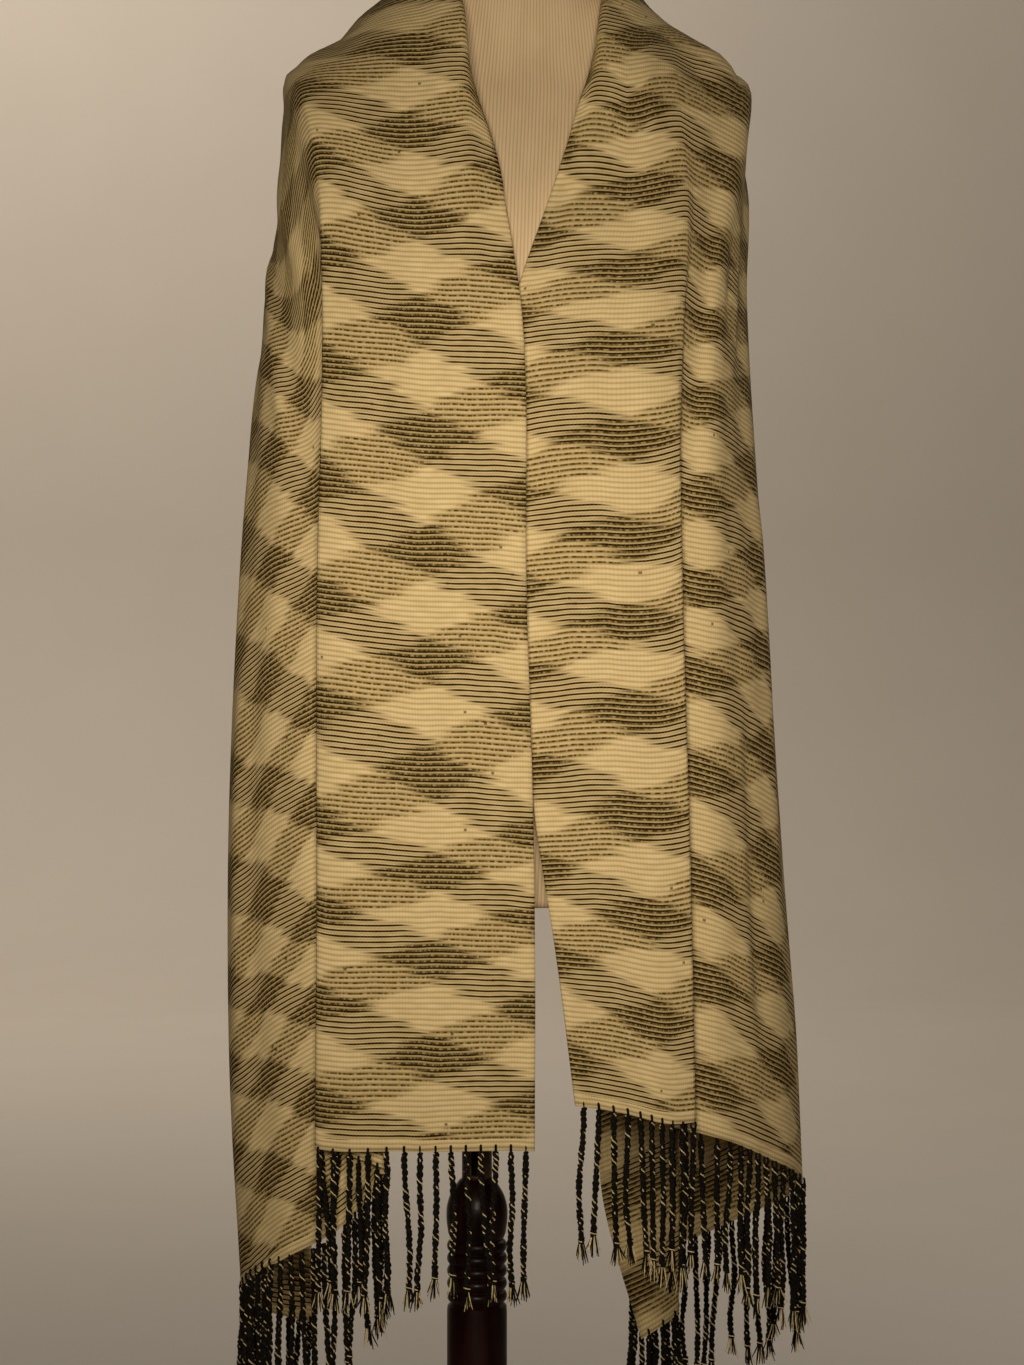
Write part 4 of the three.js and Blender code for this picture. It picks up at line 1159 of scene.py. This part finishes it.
def add_softbox(name, place, aim, size, power, colour, spread=180):
    light = bpy.data.lights.new(name, "AREA")
    light.shape = "RECTANGLE"
    light.size, light.size_y = size
    light.spread = math.radians(spread)
    light.energy = power
    light.color = colour
    lamp = bpy.data.objects.new(name, light)
    lamp.location = place
    lamp.rotation_euler = (Vector(aim) - Vector(place)).to_track_quat("-Z", "Y").to_euler()
    lamp.visible_camera = False
    bpy.context.scene.collection.objects.link(lamp)


def make_lights():
    middle = (0.01, -0.05, 0.98)
    add_softbox(
        "key softbox", (-0.02, -1.62, 1.1), middle, (0.5, 0.5), 3.3, (1.0, 0.88, 0.70), spread=72,
    )
    add_softbox("left fill", (-2.6, -1.0, 1.9), middle, (1.6, 2.0), 1.4, (1.0, 0.9, 0.76))
    add_softbox("back fill", (2.2, 2.0, 2.6), middle, (1.8, 1.8), 16, (1.0, 0.92, 0.8))
    add_softbox(
        "back drop light", (-2.2, 4.6, 5.2), (0, 8.0, 1.2), (4.4, 2.2), 210, (1.0, 0.86, 0.70),
    )
    world = bpy.data.worlds.new("Soft room")
    world.use_nodes = True
    sky = world.node_tree.nodes["Background"]
    sky.inputs["Color"].default_value = (1.0, 0.88, 0.72, 1)
    sky.inputs["Strength"].default_value = 0.022
    bpy.context.scene.world = world


def make_camera():
    distance, middle_x, middle_height = 2.5, 0.028, 0.914
    lens = bpy.data.cameras.new("portrait camera")
    lens.sensor_width = 36
    lens.lens = 82.42
    camera = bpy.data.objects.new("portrait camera", lens)
    camera.location = (middle_x, -distance, middle_height)
    camera.rotation_euler = (math.pi / 2, 0, 0)
    bpy.context.scene.collection.objects.link(camera)
    bpy.context.scene.camera = camera
    bpy.context.scene.view_settings.view_transform = "Standard"


# ------------------------------------------------------------------ the whole
make_camera()
black_yarn = yarn_finish(
    "Black fringe yarn", (0.002, 0.0015, 0.0008, 1), (0.011, 0.0075, 0.0035, 1), 0.85,
)
cream_yarn = yarn_finish("Cream fringe yarn", (0.62, 0.48, 0.23, 1), (0.95, 0.79, 0.47, 1), 0.85)
shawl = make_shawl(shawl_finish())
fringes = [
    make_fringe("left_fringe_cords", LEFT, "fringe_left", black_yarn, cream_yarn),
    make_fringe("right_fringe_cords", RIGHT, "fringe_right", black_yarn, cream_yarn),
]
make_form(jersey_finish())
make_stand(
    wood_finish(),
    painted_finish("Black rod", (0.008, 0.008, 0.008, 1), (0.02, 0.02, 0.02, 1), 0.35, 0.6),
    painted_finish("Brown collar", (0.075, 0.032, 0.014, 1), (0.13, 0.06, 0.028, 1), 0.45),
)
make_stage()
make_lights()
